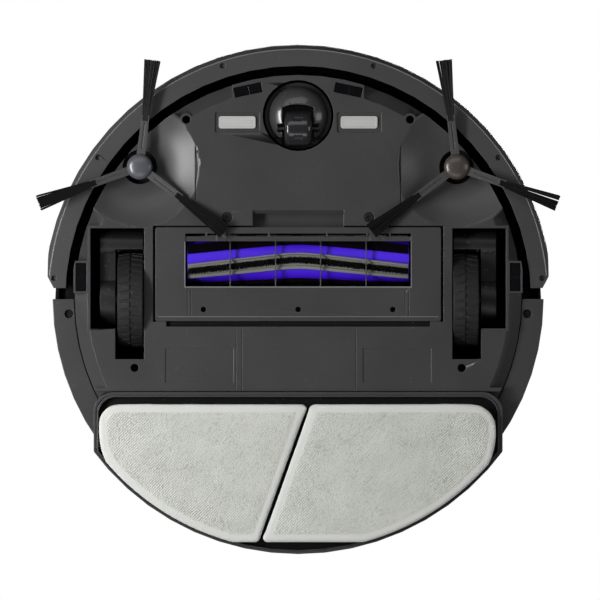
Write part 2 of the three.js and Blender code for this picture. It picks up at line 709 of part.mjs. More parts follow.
// One half of the mop cloth or of the plate that carries it.
function mopHalf(side, inset, z0, z1) {
  const corner = 15 - inset;
  const outline = roundedRect(-139.5 + inset, 72.6 + inset, 138.5 - inset, 250, corner);
  const whole = slab(outline, z0, z1, 6)
    .intersect(post(0, 0, z0 - 1, z1 + 1, 176.5 - inset, ringSegments))
    .intersect(block(-far, 0, z0 - 1, far, mop.rearCut - inset, z1 + 1));
  return whole.intersect(beyondSplit(side, 0.4));
}

function makeMopFrame() {
  const outerDisc = post(0, 0, 0, 30, mop.tailRadius, ringSegments);
  const innerDisc = post(0, 0, 0, 30, mop.tailRadius - 2.8, ringSegments);
  const tray = slab(moduleOutline(0), 7.5, 16.4, 6).intersect(outerDisc);
  const pocket = slab(moduleOutline(3.4), 0, 12.2, 6).intersect(innerDisc);
  return tray.subtract(pocket);
}

function makeTank() {
  const plan = block(-tank.halfWidth, tank.front, 0, tank.halfWidth, 200, 100);
  const vessel = post(0, 0, tank.bottom, tank.top, mop.tailRadius, ringSegments);
  const skirt = ring(157, mop.tailRadius, 16.8, tank.bottom + 1);
  const buttonBay = block(-16, 171.8, 34, 16, 200, 46);
  return vessel.add(skirt).intersect(plan).subtract(buttonBay);
}

function addMopModule() {
  place('mop_frame', makeMopFrame(), shellPlastic);
  place('mop_carrier_left', mopHalf(1, 3, 6.6, 11.6), blackPlastic);
  place('mop_carrier_right', mopHalf(-1, 3, 6.6, 11.6), blackPlastic);
  place('mop_pad_left', mopHalf(1, 0, 0, 6.2), padCloth);
  place('mop_pad_right', mopHalf(-1, 0, 0, 6.2), padCloth);
  place('water_tank', makeTank(), tankPlastic);
  place('tank_release_button', block(-15.4, 174, 34.6, 15.4, 176.8, 45.4), greyPlastic);
}

// ---- inside ----

function makeBin() {
  const outer = block(bin.right, bin.front, bin.bottom, bin.left, bin.rear, bin.top);
  const skin = 2;
  const cavity = block(
    bin.right + skin, bin.front + skin, bin.bottom + skin, bin.left - skin, bin.rear - skin, bin.top + 5,
  );
  const inlet = block(ductLow[0], bin.front - 5, ductLow[1], ductHigh[0], bin.front + 5, ductHigh[1]);
  const outlet = block(bin.left - 5, 32, 32, bin.left + 5, 66, 60);
  const bridge = block(-40, bin.front, bin.top - 4, -28, bin.rear, bin.top);
  return cut(outer, [cavity, inlet, outlet]).add(bridge);
}

function makeFilter() {
  const bodies = [block(bin.left + gap, 30, 30, bin.left + 3, 68, 62)];
  for (let i = 0; i < 8; i += 1) {
    const y = 32 + i * 4.4;
    bodies.push(block(bin.left + 2, y, 33, bin.left + 9, y + 2, 59));
  }
  return unite(bodies);
}

function makeFanHousing() {
  const { radius } = fan;
  return turned([
    [0, 24], [radius, 24], [radius, 62], [13, 62], [13, 59.5], [radius - wall, 59.5], [radius - wall, 26.5],
    [0, 26.5],
  ], 24);
}

function makeImpeller() {
  const hub = turned([[0, 28], [21, 28], [21, 29.5], [5, 33], [5, 50], [0, 50]], 20);
  const blades = [];
  for (let i = 0; i < 9; i += 1) {
    const blade = new THREE.BoxGeometry(16, 1.2, 16).translate(12, 0, 37).rotateZ((i / 9) * Math.PI * 2);
    blades.push(solid(blade));
  }
  return unite([hub, ...blades]);
}

function makeBoard() {
  const chips = [[-30, -100, 10], [20, -96, 14], [-10, -70, 12], [36, -66, 8]];
  const bodies = [block(-60, -118, 58, 60, -56, 59.6)];
  for (const [x, y, size] of chips) bodies.push(block(x, y, 59, x + size, y + size, 61.6));
  return unite(bodies);
}

function makeBattery() {
  const cells = [];
  for (let i = 0; i < 4; i += 1) cells.push(rod(-58, 58, -90.5 + i * 7.4, i % 2 ? 46 : 36, 8.2, 12));
  return unite([...cells, block(-60, -98, 26, 60, -66, 34)]);
}

function addInside() {
  place('dust_bin', makeBin(), tankPlastic);
  place('bin_filter', makeFilter(), filterPaper);
  const fanGroup = groupAt(fan.x, fan.y, 0);
  place('fan_housing', makeFanHousing(), blackPlastic, fanGroup);
  place('fan_impeller', makeImpeller(), greyPlastic, fanGroup);
  place('main_board', makeBoard(), copperBoard);
  place('battery_pack', makeBattery(), batteryWrap);
  place('water_pump', block(-127, 50, 21, -104, 72, 44), blackPlastic);
}

addChassisParts();
addShells();
addTurret();
addCaster();
addDriveWheels();
addMainBrush();
addSideBrushes();
addMopModule();
addInside();

export default robot;
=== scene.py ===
import json
import math
import random

import bpy
from mathutils import Matrix, Vector


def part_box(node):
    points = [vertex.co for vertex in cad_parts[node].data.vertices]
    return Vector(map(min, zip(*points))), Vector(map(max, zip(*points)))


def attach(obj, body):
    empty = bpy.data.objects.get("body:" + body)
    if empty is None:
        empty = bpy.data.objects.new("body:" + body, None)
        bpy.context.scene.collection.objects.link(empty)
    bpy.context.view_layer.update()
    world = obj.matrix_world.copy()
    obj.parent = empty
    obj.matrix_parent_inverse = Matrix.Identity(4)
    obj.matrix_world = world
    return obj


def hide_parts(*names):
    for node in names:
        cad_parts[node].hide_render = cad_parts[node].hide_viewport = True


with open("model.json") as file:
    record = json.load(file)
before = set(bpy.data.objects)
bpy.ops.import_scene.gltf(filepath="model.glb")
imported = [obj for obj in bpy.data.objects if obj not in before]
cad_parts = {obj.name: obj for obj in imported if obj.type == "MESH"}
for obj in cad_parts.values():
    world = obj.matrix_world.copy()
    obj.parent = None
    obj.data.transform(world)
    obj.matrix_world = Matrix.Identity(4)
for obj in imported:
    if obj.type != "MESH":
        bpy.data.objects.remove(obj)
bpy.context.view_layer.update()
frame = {"nodes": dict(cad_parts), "record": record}
mm = 0.001

behaviour = frame["record"]["behaviour"]
bodyOfNode = {node: body for body, members in behaviour["bodies"].items() for node in members}
print("frame loaded")


# selecting and editing

def objectMode():
    if bpy.context.object and bpy.context.object.mode != "OBJECT":
        bpy.ops.object.mode_set(mode="OBJECT")


def onlySelect(piece):
    objectMode()
    bpy.ops.object.select_all(action="DESELECT")
    piece.select_set(True)
    bpy.context.view_layer.objects.active = piece


def editAll(piece):
    onlySelect(piece)
    bpy.ops.object.mode_set(mode="EDIT")
    bpy.ops.mesh.select_all(action="SELECT")


def settlePlace(piece):
    onlySelect(piece)
    bpy.ops.object.transform_apply(location=True, rotation=True, scale=True)
    return piece


def applyModifiers(piece):
    onlySelect(piece)
    for modifier in list(piece.modifiers):
        bpy.ops.object.modifier_apply(modifier=modifier.name)
    return piece


def joinPieces(pieces):
    objectMode()
    bpy.ops.object.select_all(action="DESELECT")
    for piece in pieces:
        piece.select_set(True)
    bpy.context.view_layer.objects.active = pieces[0]
    if len(pieces) > 1:
        bpy.ops.object.join()
    return bpy.context.object


def smoothByAngle(piece, degrees=32):
    onlySelect(piece)
    bpy.ops.object.shade_smooth_by_angle(angle=math.radians(degrees))
    modifier = piece.modifiers.new("flatFaces", "WEIGHTED_NORMAL")
    modifier.keep_sharp = True
    return applyModifiers(piece)


def turnPiece(piece, degrees, centre=(0, 0, 0), axis="Z"):
    # turns a settled piece about a point in millimetres
    middle = Vector(centre) * mm
    turn = Matrix.Rotation(math.radians(degrees), 4, axis)
    piece.data.transform(Matrix.Translation(middle) @ turn @ Matrix.Translation(-middle))
    return piece


def extraCopy(piece, name):
    copy = bpy.data.objects.new(name, piece.data.copy())
    bpy.context.scene.collection.objects.link(copy)
    return copy


def roundEdges(piece, width, segments=2, degrees=28):
    # width in millimetres
    modifier = piece.modifiers.new("edges", "BEVEL")
    modifier.width = width * mm
    modifier.segments = segments
    modifier.limit_method = "ANGLE"
    modifier.angle_limit = math.radians(degrees)
    modifier.use_clamp_overlap = False
    modifier.miter_outer = "MITER_ARC"
    return applyModifiers(piece)


def addBlock(name, low, high):
    # corners in millimetres
    centre = [(a + b) / 2 * mm for a, b in zip(low, high)]
    onlyDeselect()
    bpy.ops.mesh.primitive_cube_add(size=1, location=centre)
    piece = bpy.context.object
    piece.name = name
    piece.scale = [abs(b - a) * mm for a, b in zip(low, high)]
    return settlePlace(piece)


def onlyDeselect():
    objectMode()
    bpy.ops.object.select_all(action="DESELECT")


def addPost(name, x, y, low, high, radius, sides=48):
    onlyDeselect()
    bpy.ops.mesh.primitive_cylinder_add(
        vertices=sides, radius=radius * mm, depth=(high - low) * mm,
        location=(x * mm, y * mm, (low + high) / 2 * mm))
    piece = bpy.context.object
    piece.name = name
    return settlePlace(piece)


def spinProfile(name, profile, steps=128, centre=(0, 0), alongX=False):
    # profile is a closed loop of (radius, height) in millimetres; centre is (x, y), or (y, z) along X
    onlyDeselect()
    bpy.ops.mesh.primitive_circle_add(vertices=len(profile), fill_type="NOTHING")
    piece = bpy.context.object
    piece.name = name
    a, b = centre[0] * mm, centre[1] * mm
    for vertex, (radius, height) in zip(piece.data.vertices, profile):
        if alongX:
            vertex.co = (height * mm, a, b + radius * mm)
        else:
            vertex.co = (a + radius * mm, b, height * mm)
    editAll(piece)
    middle, axis = ((0, a, b), (1, 0, 0)) if alongX else ((a, b, 0), (0, 0, 1))
    bpy.ops.mesh.spin(steps=steps, angle=math.tau, center=middle, axis=axis)
    bpy.ops.mesh.select_all(action="SELECT")
    bpy.ops.mesh.remove_doubles(threshold=0.002 * mm)
    bpy.ops.mesh.dissolve_degenerate(threshold=0.001 * mm)
    bpy.ops.mesh.normals_make_consistent(inside=False)
    objectMode()
    return piece


def combine(piece, tool, operation="DIFFERENCE"):
    modifier = piece.modifiers.new("shape", "BOOLEAN")
    modifier.operation = operation
    modifier.solver = "MANIFOLD"
    modifier.object = tool
    applyModifiers(piece)
    bpy.data.objects.remove(tool)
    return piece


def copyOfNode(node, name):
    # a merged, cleaned copy of a CAD node to work on
    source = frame["nodes"][node]
    piece = bpy.data.objects.new(name, source.data.copy())
    bpy.context.scene.collection.objects.link(piece)
    piece.data.materials.clear()
    editAll(piece)
    bpy.ops.mesh.remove_doubles(threshold=0.01 * mm)
    objectMode()
    return piece


def standFor(piece, material, *nodes):
    # gives a piece its finish and the body of the nodes that it stands for, and hides those nodes
    piece.data.materials.clear()
    piece.data.materials.append(material)
    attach(piece, bodyOfNode[nodes[0]])
    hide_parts(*nodes)
    return piece


def secondFinish(piece, material, test):
    # gives the faces that pass test(centre, normal) a second finish
    piece.data.materials.append(material)
    for face in piece.data.polygons:
        if test(face.center, face.normal):
            face.material_index = len(piece.data.materials) - 1
    return piece


def rideAlong(piece, material, node):
    # an extra piece that moves with a node's body
    piece.data.materials.clear()
    piece.data.materials.append(material)
    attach(piece, bodyOfNode[node])
    return piece


# shared shader groups

def newGroup(name, inputs, outputs):
    group = bpy.data.node_groups.new(name, "ShaderNodeTree")
    for label, kind, value in inputs:
        socket = group.interface.new_socket(name=label, in_out="INPUT", socket_type="NodeSocket" + kind)
        if value is not None:
            socket.default_value = value
    for label, kind in outputs:
        group.interface.new_socket(name=label, in_out="OUTPUT", socket_type="NodeSocket" + kind)
    return group, group.nodes.new("NodeGroupInput"), group.nodes.new("NodeGroupOutput")


def mathNode(tree, operation, a, b=None):
    node = tree.nodes.new("ShaderNodeMath")
    node.operation = operation
    for socket, value in zip(node.inputs, (a, b)):
        if value is None:
            continue
        if isinstance(value, (int, float)):
            socket.default_value = value
        else:
            tree.links.new(value, socket)
    return node.outputs[0]


def times(tree, a, b):
    return mathNode(tree, "MULTIPLY", a, b)


def noiseNode(tree, coordinates, scale, detail=3.0):
    node = tree.nodes.new("ShaderNodeTexNoise")
    node.inputs["Detail"].default_value = detail
    tree.links.new(coordinates, node.inputs["Vector"])
    if isinstance(scale, (int, float)):
        node.inputs["Scale"].default_value = scale
    else:
        tree.links.new(scale, node.inputs["Scale"])
    return node.outputs["Fac"]


def buildGrainGroup():
    # fine moulded grain, broad cloudiness and a light scatter of dust
    group, given, result = newGroup(
        "mouldedGrain",
        [("Coordinates", "Vector", None), ("Grain Scale", "Float", 1500.0), ("Cloud Scale", "Float", 22.0)],
        [("Grain", "Float"), ("Cloud", "Float"), ("Dust", "Float")])
    fine = noiseNode(group, given.outputs["Coordinates"], given.outputs["Grain Scale"], 2.0)
    cell = group.nodes.new("ShaderNodeTexVoronoi")
    group.links.new(given.outputs["Coordinates"], cell.inputs["Vector"])
    group.links.new(given.outputs["Grain Scale"], cell.inputs["Scale"])
    cellShare = times(group, cell.outputs["Distance"], 0.4)
    mixed = mathNode(group, "ADD", times(group, fine, 0.6), cellShare)
    cloud = noiseNode(group, given.outputs["Coordinates"], given.outputs["Cloud Scale"], 4.0)
    speck = noiseNode(group, given.outputs["Coordinates"], 420.0, 2.0)
    dust = times(group, mathNode(group, "GREATER_THAN", speck, 0.69), cloud)
    group.links.new(mixed, result.inputs["Grain"])
    group.links.new(cloud, result.inputs["Cloud"])
    group.links.new(dust, result.inputs["Dust"])
    return group


def buildEdgeGroup():
    # 1 along rounded edges, broken up by noise; used to lighten edges, partly as worn plastic and partly as a
    # painted highlight
    group, given, result = newGroup(
        "edgeWearAndHighlight", [("Coordinates", "Vector", None), ("Radius", "Float", 0.0006)], [("Mask", "Float")])
    bevel = group.nodes.new("ShaderNodeBevel")
    bevel.samples = 4
    group.links.new(given.outputs["Radius"], bevel.inputs["Radius"])
    geometry = group.nodes.new("ShaderNodeNewGeometry")
    dot = group.nodes.new("ShaderNodeVectorMath")
    dot.operation = "DOT_PRODUCT"
    group.links.new(bevel.outputs["Normal"], dot.inputs[0])
    group.links.new(geometry.outputs["Normal"], dot.inputs[1])
    turn = mathNode(group, "SUBTRACT", 1.0, dot.outputs["Value"])
    patchy = noiseNode(group, given.outputs["Coordinates"], 160.0, 4.0)
    mask = times(group, times(group, turn, 9.0), mathNode(group, "POWER", patchy, 1.5))
    limit = mathNode(group, "MINIMUM", mask, 1.0)
    group.links.new(limit, result.inputs["Mask"])
    return group


def buildStreakGroup():
    # long fine streaks along one axis, for brushed metal and bristles
    group, given, result = newGroup(
        "streaks",
        [("Coordinates", "Vector", None), ("Stretch", "Vector", (1.0, 30.0, 30.0)), ("Scale", "Float", 60.0)],
        [("Streak", "Float")])
    scale = group.nodes.new("ShaderNodeVectorMath")
    scale.operation = "MULTIPLY"
    group.links.new(given.outputs["Coordinates"], scale.inputs[0])
    group.links.new(given.outputs["Stretch"], scale.inputs[1])
    streak = noiseNode(group, scale.outputs["Vector"], given.outputs["Scale"], 3.0)
    group.links.new(streak, result.inputs["Streak"])
    return group


grainGroup = buildGrainGroup()
edgeGroup = buildEdgeGroup()
streakGroup = buildStreakGroup()


def placeGroup(tree, group, **values):
    node = tree.nodes.new("ShaderNodeGroup")
    node.node_tree = group
    for label, value in values.items():
        socket = node.inputs[label.replace("_", " ")]
        if isinstance(value, bpy.types.NodeSocket):
            tree.links.new(value, socket)
        else:
            socket.default_value = value
    return node


def mixColour(tree, factor, first, second):
    node = tree.nodes.new("ShaderNodeMix")
    node.data_type = "RGBA"
    for socket, value in ((node.inputs[0], factor), (node.inputs[6], first), (node.inputs[7], second)):
        if isinstance(value, bpy.types.NodeSocket):
            tree.links.new(value, socket)
        elif isinstance(value, (int, float)):
            socket.default_value = value
        else:
            socket.default_value = (*value, 1.0)
    return node.outputs[2]


def mapRange(tree, value, low, high):
    node = tree.nodes.new("ShaderNodeMapRange")
    tree.links.new(value, node.inputs["Value"])
    node.inputs["To Min"].default_value = low
    node.inputs["To Max"].default_value = high
    return node.outputs["Result"]


def bump(tree, height, strength, distance):
    node = tree.nodes.new("ShaderNodeBump")
    node.inputs["Strength"].default_value = strength
    node.inputs["Distance"].default_value = distance
    tree.links.new(height, node.inputs["Height"])
    return node.outputs["Normal"]


def startMaterial(name):
    material = bpy.data.materials.new(name)
    material.use_nodes = True
    tree = material.node_tree
    shader = tree.nodes["Principled BSDF"]
    coordinates = tree.nodes.new("ShaderNodeTexCoord").outputs["Object"]
    return material, tree, shader, coordinates


# the edge gain and lift make the lighter edge colour: partly worn, partly a painted highlight
plasticLook = dict(cloudy=0.16, dustColour=(0.35, 0.34, 0.32), wearAndHighlightGain=2.2, wearAndHighlightLift=0.03, relief=0.00004,
                   smoother=0.06, rougher=0.07, coatRough=0.08, edgeSamples=6)


def plastic(name, look):
    # moulded plastic or rubber with grain, cloudiness, dust and lighter edges that are partly worn and partly
    # a painted highlight
    material, tree, shader, coordinates = startMaterial(name)
    shared = plasticLook
    grain = placeGroup(tree, grainGroup, Coordinates=coordinates, Grain_Scale=look["grain"])
    edge = placeGroup(tree, edgeGroup, Coordinates=coordinates)
    base = look["colour"]
    darker = [c * (1 - shared["cloudy"]) for c in base]
    lighter = [min(1, c * (1 + shared["cloudy"])) for c in base]
    body = mixColour(tree, grain.outputs["Cloud"], darker, lighter)
    dust = times(tree, grain.outputs["Dust"], look.get("dust", 0.25))
    dusty = mixColour(tree, dust, body, shared["dustColour"])
    # lighter edges: a painted highlight mixed with worn edges
    wornAndLit = times(tree, edge.outputs["Mask"], look["wearAndHighlight"])
    wornAndLitColour = [min(1, c * shared["wearAndHighlightGain"] + shared["wearAndHighlightLift"]) for c in base]
    tree.links.new(mixColour(tree, wornAndLit, dusty, wornAndLitColour), shader.inputs["Base Color"])
    low, high = look["rough"] - shared["smoother"], look["rough"] + shared["rougher"]
    tree.links.new(mapRange(tree, grain.outputs["Cloud"], low, high), shader.inputs["Roughness"])
    relief = bump(tree, grain.outputs["Grain"], look["depth"], shared["relief"])
    if look.get("softEdge"):
        rounded = tree.nodes.new("ShaderNodeBevel")
        rounded.samples = shared["edgeSamples"]
        rounded.inputs["Radius"].default_value = look["softEdge"] * mm
        tree.links.new(rounded.outputs["Normal"], relief.node.inputs["Normal"])
    tree.links.new(relief, shader.inputs["Normal"])
    shader.inputs["Specular IOR Level"].default_value = look.get("specular", 0.5)
    if look.get("coat"):
        shader.inputs["Coat Weight"].default_value = look["coat"]
        shader.inputs["Coat Roughness"].default_value = shared["coatRough"]
    return material


def brushedMetal(name, look):
    material, tree, shader, coordinates = startMaterial(name)
    streak = placeGroup(tree, streakGroup, Coordinates=coordinates, Scale=look.get("scale", 60.0))
    grain = placeGroup(tree, grainGroup, Coordinates=coordinates)
    base = look["colour"]
    tone = mixColour(tree, streak.outputs["Streak"], [c * 0.82 for c in base], base)
    spotted = mixColour(tree, times(tree, grain.outputs["Dust"], 0.3), tone, (0.3, 0.28, 0.25))
    tree.links.new(spotted, shader.inputs["Base Color"])
    rough = mapRange(tree, streak.outputs["Streak"], look["rough"] - 0.08, look["rough"] + 0.1)
    tree.links.new(rough, shader.inputs["Roughness"])
    tree.links.new(bump(tree, streak.outputs["Streak"], 0.15, 0.00003), shader.inputs["Normal"])
    shader.inputs["Metallic"].default_value = look.get("metallic", 1.0)
    return material


def terryCloth(name, look):
    # looped pile in slanting rows, with painted shade in the hollows between the loops, and a smooth hem
    # where the "hem" attribute is 1
    material, tree, shader, coordinates = startMaterial(name)
    grain = placeGroup(tree, grainGroup, Coordinates=coordinates, Grain_Scale=2200.0, Cloud_Scale=30.0)
    warp = tree.nodes.new("ShaderNodeVectorMath")
    warp.operation = "MULTIPLY_ADD"
    wander = tree.nodes.new("ShaderNodeTexNoise")
    wander.inputs["Scale"].default_value = 70.0
    tree.links.new(coordinates, wander.inputs["Vector"])
    tree.links.new(wander.outputs["Color"], warp.inputs[0])
    warp.inputs[1].default_value = (0.0016, 0.0016, 0.0)
    tree.links.new(coordinates, warp.inputs[2])
    rows = tree.nodes.new("ShaderNodeTexWave")
    rows.bands_direction = "DIAGONAL"
    rows.inputs["Scale"].default_value = 0.54 / (look["row"] * mm)
    tree.links.new(warp.outputs["Vector"], rows.inputs["Vector"])
    nubs = tree.nodes.new("ShaderNodeTexVoronoi")
    nubs.inputs["Scale"].default_value = 1 / (look["nub"] * mm)
    tree.links.new(warp.outputs["Vector"], nubs.inputs["Vector"])
    patches = noiseNode(tree, coordinates, 55.0, 3.0)
    mounds = mathNode(tree, "SUBTRACT", 1.0, nubs.outputs["Distance"])
    ridges = mathNode(tree, "ADD", times(tree, rows.outputs["Fac"], 0.75), 0.25)
    loops = times(tree, mounds, ridges)
    hem = tree.nodes.new("ShaderNodeAttribute")
    hem.attribute_name = "hem"
    notHem = mathNode(tree, "SUBTRACT", 1.0, hem.outputs["Fac"])
    pile = times(tree, loops, notHem)
    hollow = tree.nodes.new("ShaderNodeMapRange")
    for label, value in (("From Min", 0.10), ("From Max", 0.42), ("To Min", 0.6), ("To Max", 0.0)):
        hollow.inputs[label].default_value = value
    tree.links.new(loops, hollow.inputs["Value"])
    # painted shade: the hollows between the loops darken towards a dark grey-green
    paintedShade = times(tree, times(tree, hollow.outputs["Result"], notHem), mathNode(tree, "ADD", patches, 0.35))
    darker, lighter = [[c * share for c in look["colour"]] for share in (0.93, 1.07)]
    base = mixColour(tree, grain.outputs["Cloud"], darker, lighter)
    shaded = mixColour(tree, paintedShade, base, (0.16, 0.17, 0.14))
    tree.links.new(mixColour(tree, hem.outputs["Fac"], shaded, look["hem"]), shader.inputs["Base Color"])
    tree.links.new(mapRange(tree, grain.outputs["Cloud"], 0.82, 0.95), shader.inputs["Roughness"])
    height = mathNode(tree, "ADD", pile, times(tree, grain.outputs["Grain"], 0.15))
    tree.links.new(bump(tree, height, 0.9, 0.0006), shader.inputs["Normal"])
    shader.inputs["Sheen Weight"].default_value = 0.25
    return material


def moulded(colour, rough, grain, depth, wearAndHighlight, **more):
    # grain is fineness, depth is relief, the fifth value is how much lighter the edges are: partly worn,
    # partly a painted highlight
    return dict(colour=colour, rough=rough, grain=grain, depth=depth, wearAndHighlight=wearAndHighlight, **more)


materialLooks = {
    "chassisPlastic": moulded((0.047, 0.047, 0.048), 0.36, 1600, 0.16, 0.3, softEdge=0.5, dust=0.1),
    "shellPlastic": moulded((0.042, 0.042, 0.043), 0.4, 1900, 0.12, 0.35, dust=0.1),
    "bumperPlastic": moulded((0.05, 0.05, 0.051), 0.42, 1700, 0.14, 0.4, dust=0.1),
    "coverPlastic": moulded((0.03, 0.03, 0.032), 0.36, 2100, 0.12, 0.2, coat=0.15),
    # near-black for dark inner parts, also used as painted shade on faces far inside openings and shells
    "wellPlastic": moulded((0.003, 0.003, 0.003), 0.7, 1300, 0.2, 0.0, specular=0.2, dust=0.1),
    # light grey for painted highlight strips along lit edges
    "paintedHighlightGrey": moulded((0.16, 0.16, 0.163), 0.35, 1500, 0.1, 0.2, dust=0.1),
    "hingePlastic": moulded((0.1, 0.1, 0.102), 0.4, 1500, 0.15, 0.3),
    "glossBlack": moulded((0.002, 0.002, 0.003), 0.25, 900, 0.03, 0.0, specular=0.3, dust=0.02),
    "casterPlastic": moulded((0.045, 0.045, 0.047), 0.26, 1200, 0.06, 0.25, coat=0.35),
    "casterTyre": moulded((0.018, 0.018, 0.02), 0.22, 900, 0.05, 0.2, coat=0.5),
    "tyreRubber": moulded((0.007, 0.007, 0.0075), 0.66, 800, 0.4, 0.25, dust=0.2),
    "tankPlastic": moulded((0.022, 0.022, 0.025), 0.24, 1800, 0.08, 0.2, coat=0.4),
    "brushPlastic": moulded((0.052, 0.052, 0.054), 0.5, 1100, 0.2, 0.2),
    "hubCap": moulded((0.085, 0.09, 0.104), 0.3, 1000, 0.1, 0.3, coat=0.2),
    "boardGreen": moulded((0.012, 0.07, 0.03), 0.4, 700, 0.2, 0.3),
    "batteryWrap": moulded((0.012, 0.03, 0.09), 0.3, 500, 0.1, 0.2),
    "filterPaper": moulded((0.74, 0.72, 0.66), 0.85, 1200, 0.6, 0.1),
    "finRubber": moulded((0.19, 0.19, 0.17), 0.62, 900, 0.3, 0.15),
    "hubCapWarm": moulded((0.062, 0.05, 0.043), 0.3, 1000, 0.1, 0.3, coat=0.2),
    "tuftBristle": moulded((0.004, 0.004, 0.004), 0.6, 900, 0.1, 0.0, specular=0.2, dust=0.05),
    "brushBristle": moulded((0.003, 0.003, 0.003), 0.7, 900, 0.2, 0.0, specular=0.15, dust=0.05),
    "sweepRubber": moulded((0.002, 0.001, 0.002), 0.95, 900, 0.3, 0.0, specular=0.05, dust=0.0),
    "brushBlue": moulded((0.058, 0.005, 0.74), 0.5, 900, 0.08, 0.0, dust=0.05),
    "armPlastic": moulded((0.007, 0.007, 0.0075), 0.42, 1200, 0.15, 0.2),
    "buttonPlastic": moulded((0.11, 0.11, 0.115), 0.34, 1800, 0.1, 0.3),
}
finish = {name: plastic(name, look) for name, look in materialLooks.items()}
finish["contactMetal"] = brushedMetal("contactMetal", dict(colour=(0.62, 0.62, 0.61), rough=0.38,
                                                           scale=25.0, metallic=0.2))
finish["padCloth"] = terryCloth("padCloth", dict(colour=(0.74, 0.75, 0.70), hem=(0.66, 0.67, 0.635),
                                                 row=1.7, nub=1.15))
finish["darkSteel"] = brushedMetal("darkSteel", dict(colour=(0.035, 0.035, 0.037), rough=0.35, metallic=0.6))
finish["steel"] = brushedMetal("steel", dict(colour=(0.42, 0.43, 0.44), rough=0.32))
print("materials made")

# every CAD node gets a finish, whether or not a finer piece stands for it later
nodesByFinish = {
    "chassisPlastic": ("lower_chassis", "brush_guard"),
    "shellPlastic": ("rear_shell", "mop_frame"),
    "bumperPlastic": ("bumper",),
    "coverPlastic": ("top_cover", "bin_lid", "lidar_base", "lidar_cap"),
    "glossBlack": ("lidar_rotor", "bumper_window", "cliff_sensor", "roller_core"),
    "wellPlastic": ("bumper_switch", "suspension_arm", "roller_motor", "mop_carrier", "water_pump"),
    "buttonPlastic": ("power_button", "home_button", "tank_release_button"),
    "tankPlastic": ("water_tank", "dust_bin"),
    "casterPlastic": ("caster_housing",),
    "casterTyre": ("caster_wheel",),
    "darkSteel": ("caster_axle",),
    "tyreRubber": ("tyre", "roller_bristle"),
    "hingePlastic": ("wheel_hub", "fan"),
    "steel": ("drive_motor", "chassis_screw", "side_brush_motor"),
    "contactMetal": ("charge_contact",),
    "brushPlastic": ("side_brush",),
    "finRubber": ("roller_fin",),
    "sweepRubber": ("roller_sweeper",),
    "filterPaper": ("mop_pad", "bin_filter"),
    "boardGreen": ("main_board",),
    "batteryWrap": ("battery_pack",),
}
nodeFinish = {stem: name for name, stems in nodesByFinish.items() for stem in stems}


def finishFor(node):
    stems = sorted((stem for stem in nodeFinish if node.startswith(stem)), key=len)
    return finish[nodeFinish[stems[-1]]]


for name, node in frame["nodes"].items():
    node.data.materials.clear()
    node.data.materials.append(finishFor(name))

# pieces made finer than their CAD nodes

jointPlace = {joint["name"]: Vector(joint["pos_m"]) / mm for joint in behaviour["joints"] if "pos_m" in joint}
sides = {"left": 1, "right": -1}


def roundOutline(corners, steps=6):
    # corners are (x, y, radius) in millimetres, in order; gives a list of (x, y)
    points = []
    for index, (x, y, radius) in enumerate(corners):
        here = Vector((x, y))
        before = (Vector(corners[index - 1][:2]) - here).normalized()
        after = (Vector(corners[(index + 1) % len(corners)][:2]) - here).normalized()
        if radius == 0:
            points.append((x, y))
            continue
        half = math.acos(max(-1, min(1, before.dot(after)))) / 2
        middle = here + (before + after).normalized() * (radius / math.sin(half))
        first = here + before * (radius / math.tan(half)) - middle
        last = here + after * (radius / math.tan(half)) - middle
        start = math.atan2(first.y, first.x)
        sweep = math.atan2(last.y, last.x) - start
        sweep = (sweep + math.pi) % math.tau - math.pi
        for step in range(steps + 1):
            angle = start + sweep * step / steps
            points.append((middle.x + radius * math.cos(angle), middle.y + radius * math.sin(angle)))
    return points


def raiseOutline(name, points, low, high):
    # a flat outline of (x, y) points in millimetres, raised into a closed slab
    onlyDeselect()
    bpy.ops.mesh.primitive_circle_add(vertices=len(points), fill_type="NGON")
    piece = bpy.context.object
    piece.name = name
    for vertex, (x, y) in zip(piece.data.vertices, points):
        vertex.co = (x * mm, y * mm, low * mm)
    editAll(piece)
    bpy.ops.mesh.extrude_region_move(TRANSFORM_OT_translate={"value": (0, 0, (high - low) * mm)})
    bpy.ops.mesh.select_all(action="SELECT")
    bpy.ops.mesh.normals_make_consistent(inside=False)
    objectMode()
    return piece


def cutAll(piece, tools):
    for tool in tools:
        combine(piece, tool)
    return piece


# chassis
chassis = dict(bowlRadius=42.62, bowlFlat=13.9, bowlFloor=19.1, bowlRings=16, underside=10, seatRadius=12.0,
               seatLow=12, seatHigh=25.2, toolLow=8, foldX=71.6, foldHalf=0.35, foldFront=-106.5,
               foldRear=-66.5, foldTop=12.2, grooves=dict(left=(40.2,), right=(39.2, 43.2)), grooveHalf=0.2,
               grooveFront=22, grooveRear=64, grooveTop=10.35, smoothing=14)
# narrow gap round the front and sides of the brush guard
gap = dict(inner=99.6, outer=101.3, front=-51, middle=-49.9, sideFront=-50.4, rear=16.2, top=12.6)
# faces far inside the openings, which get a near-black finish as painted shade
paintedShade = dict(z=19.55, wellZ=12.7, wellX=99.9, wellFront=-50.1, wellRear=20, gapZ=10.2, gapInner=99.4,
            gapOuter=101.5, gapFront=-51.2, gapMiddle=-49.8, gapRear=17, holeReach=3.4,
            screwHoles=((78, -124.9), (114, 48.2), (49.5, -56.8)))


def bowlTool(hub):
    radius, flat = chassis["bowlRadius"], chassis["bowlFlat"]
    rise = chassis["bowlFloor"] - chassis["underside"]
    profile = [(0, 6), (radius, 6)]
    for ring in range(chassis["bowlRings"] + 1):
        share = ring / chassis["bowlRings"]
        profile.append((radius + (flat - radius) * share,
                        chassis["underside"] + rise * math.sin(share * math.pi / 2)))
    profile.append((0, chassis["bowlFloor"]))
    return spinProfile("bowl", profile, steps=112, centre=(hub.x, hub.y))


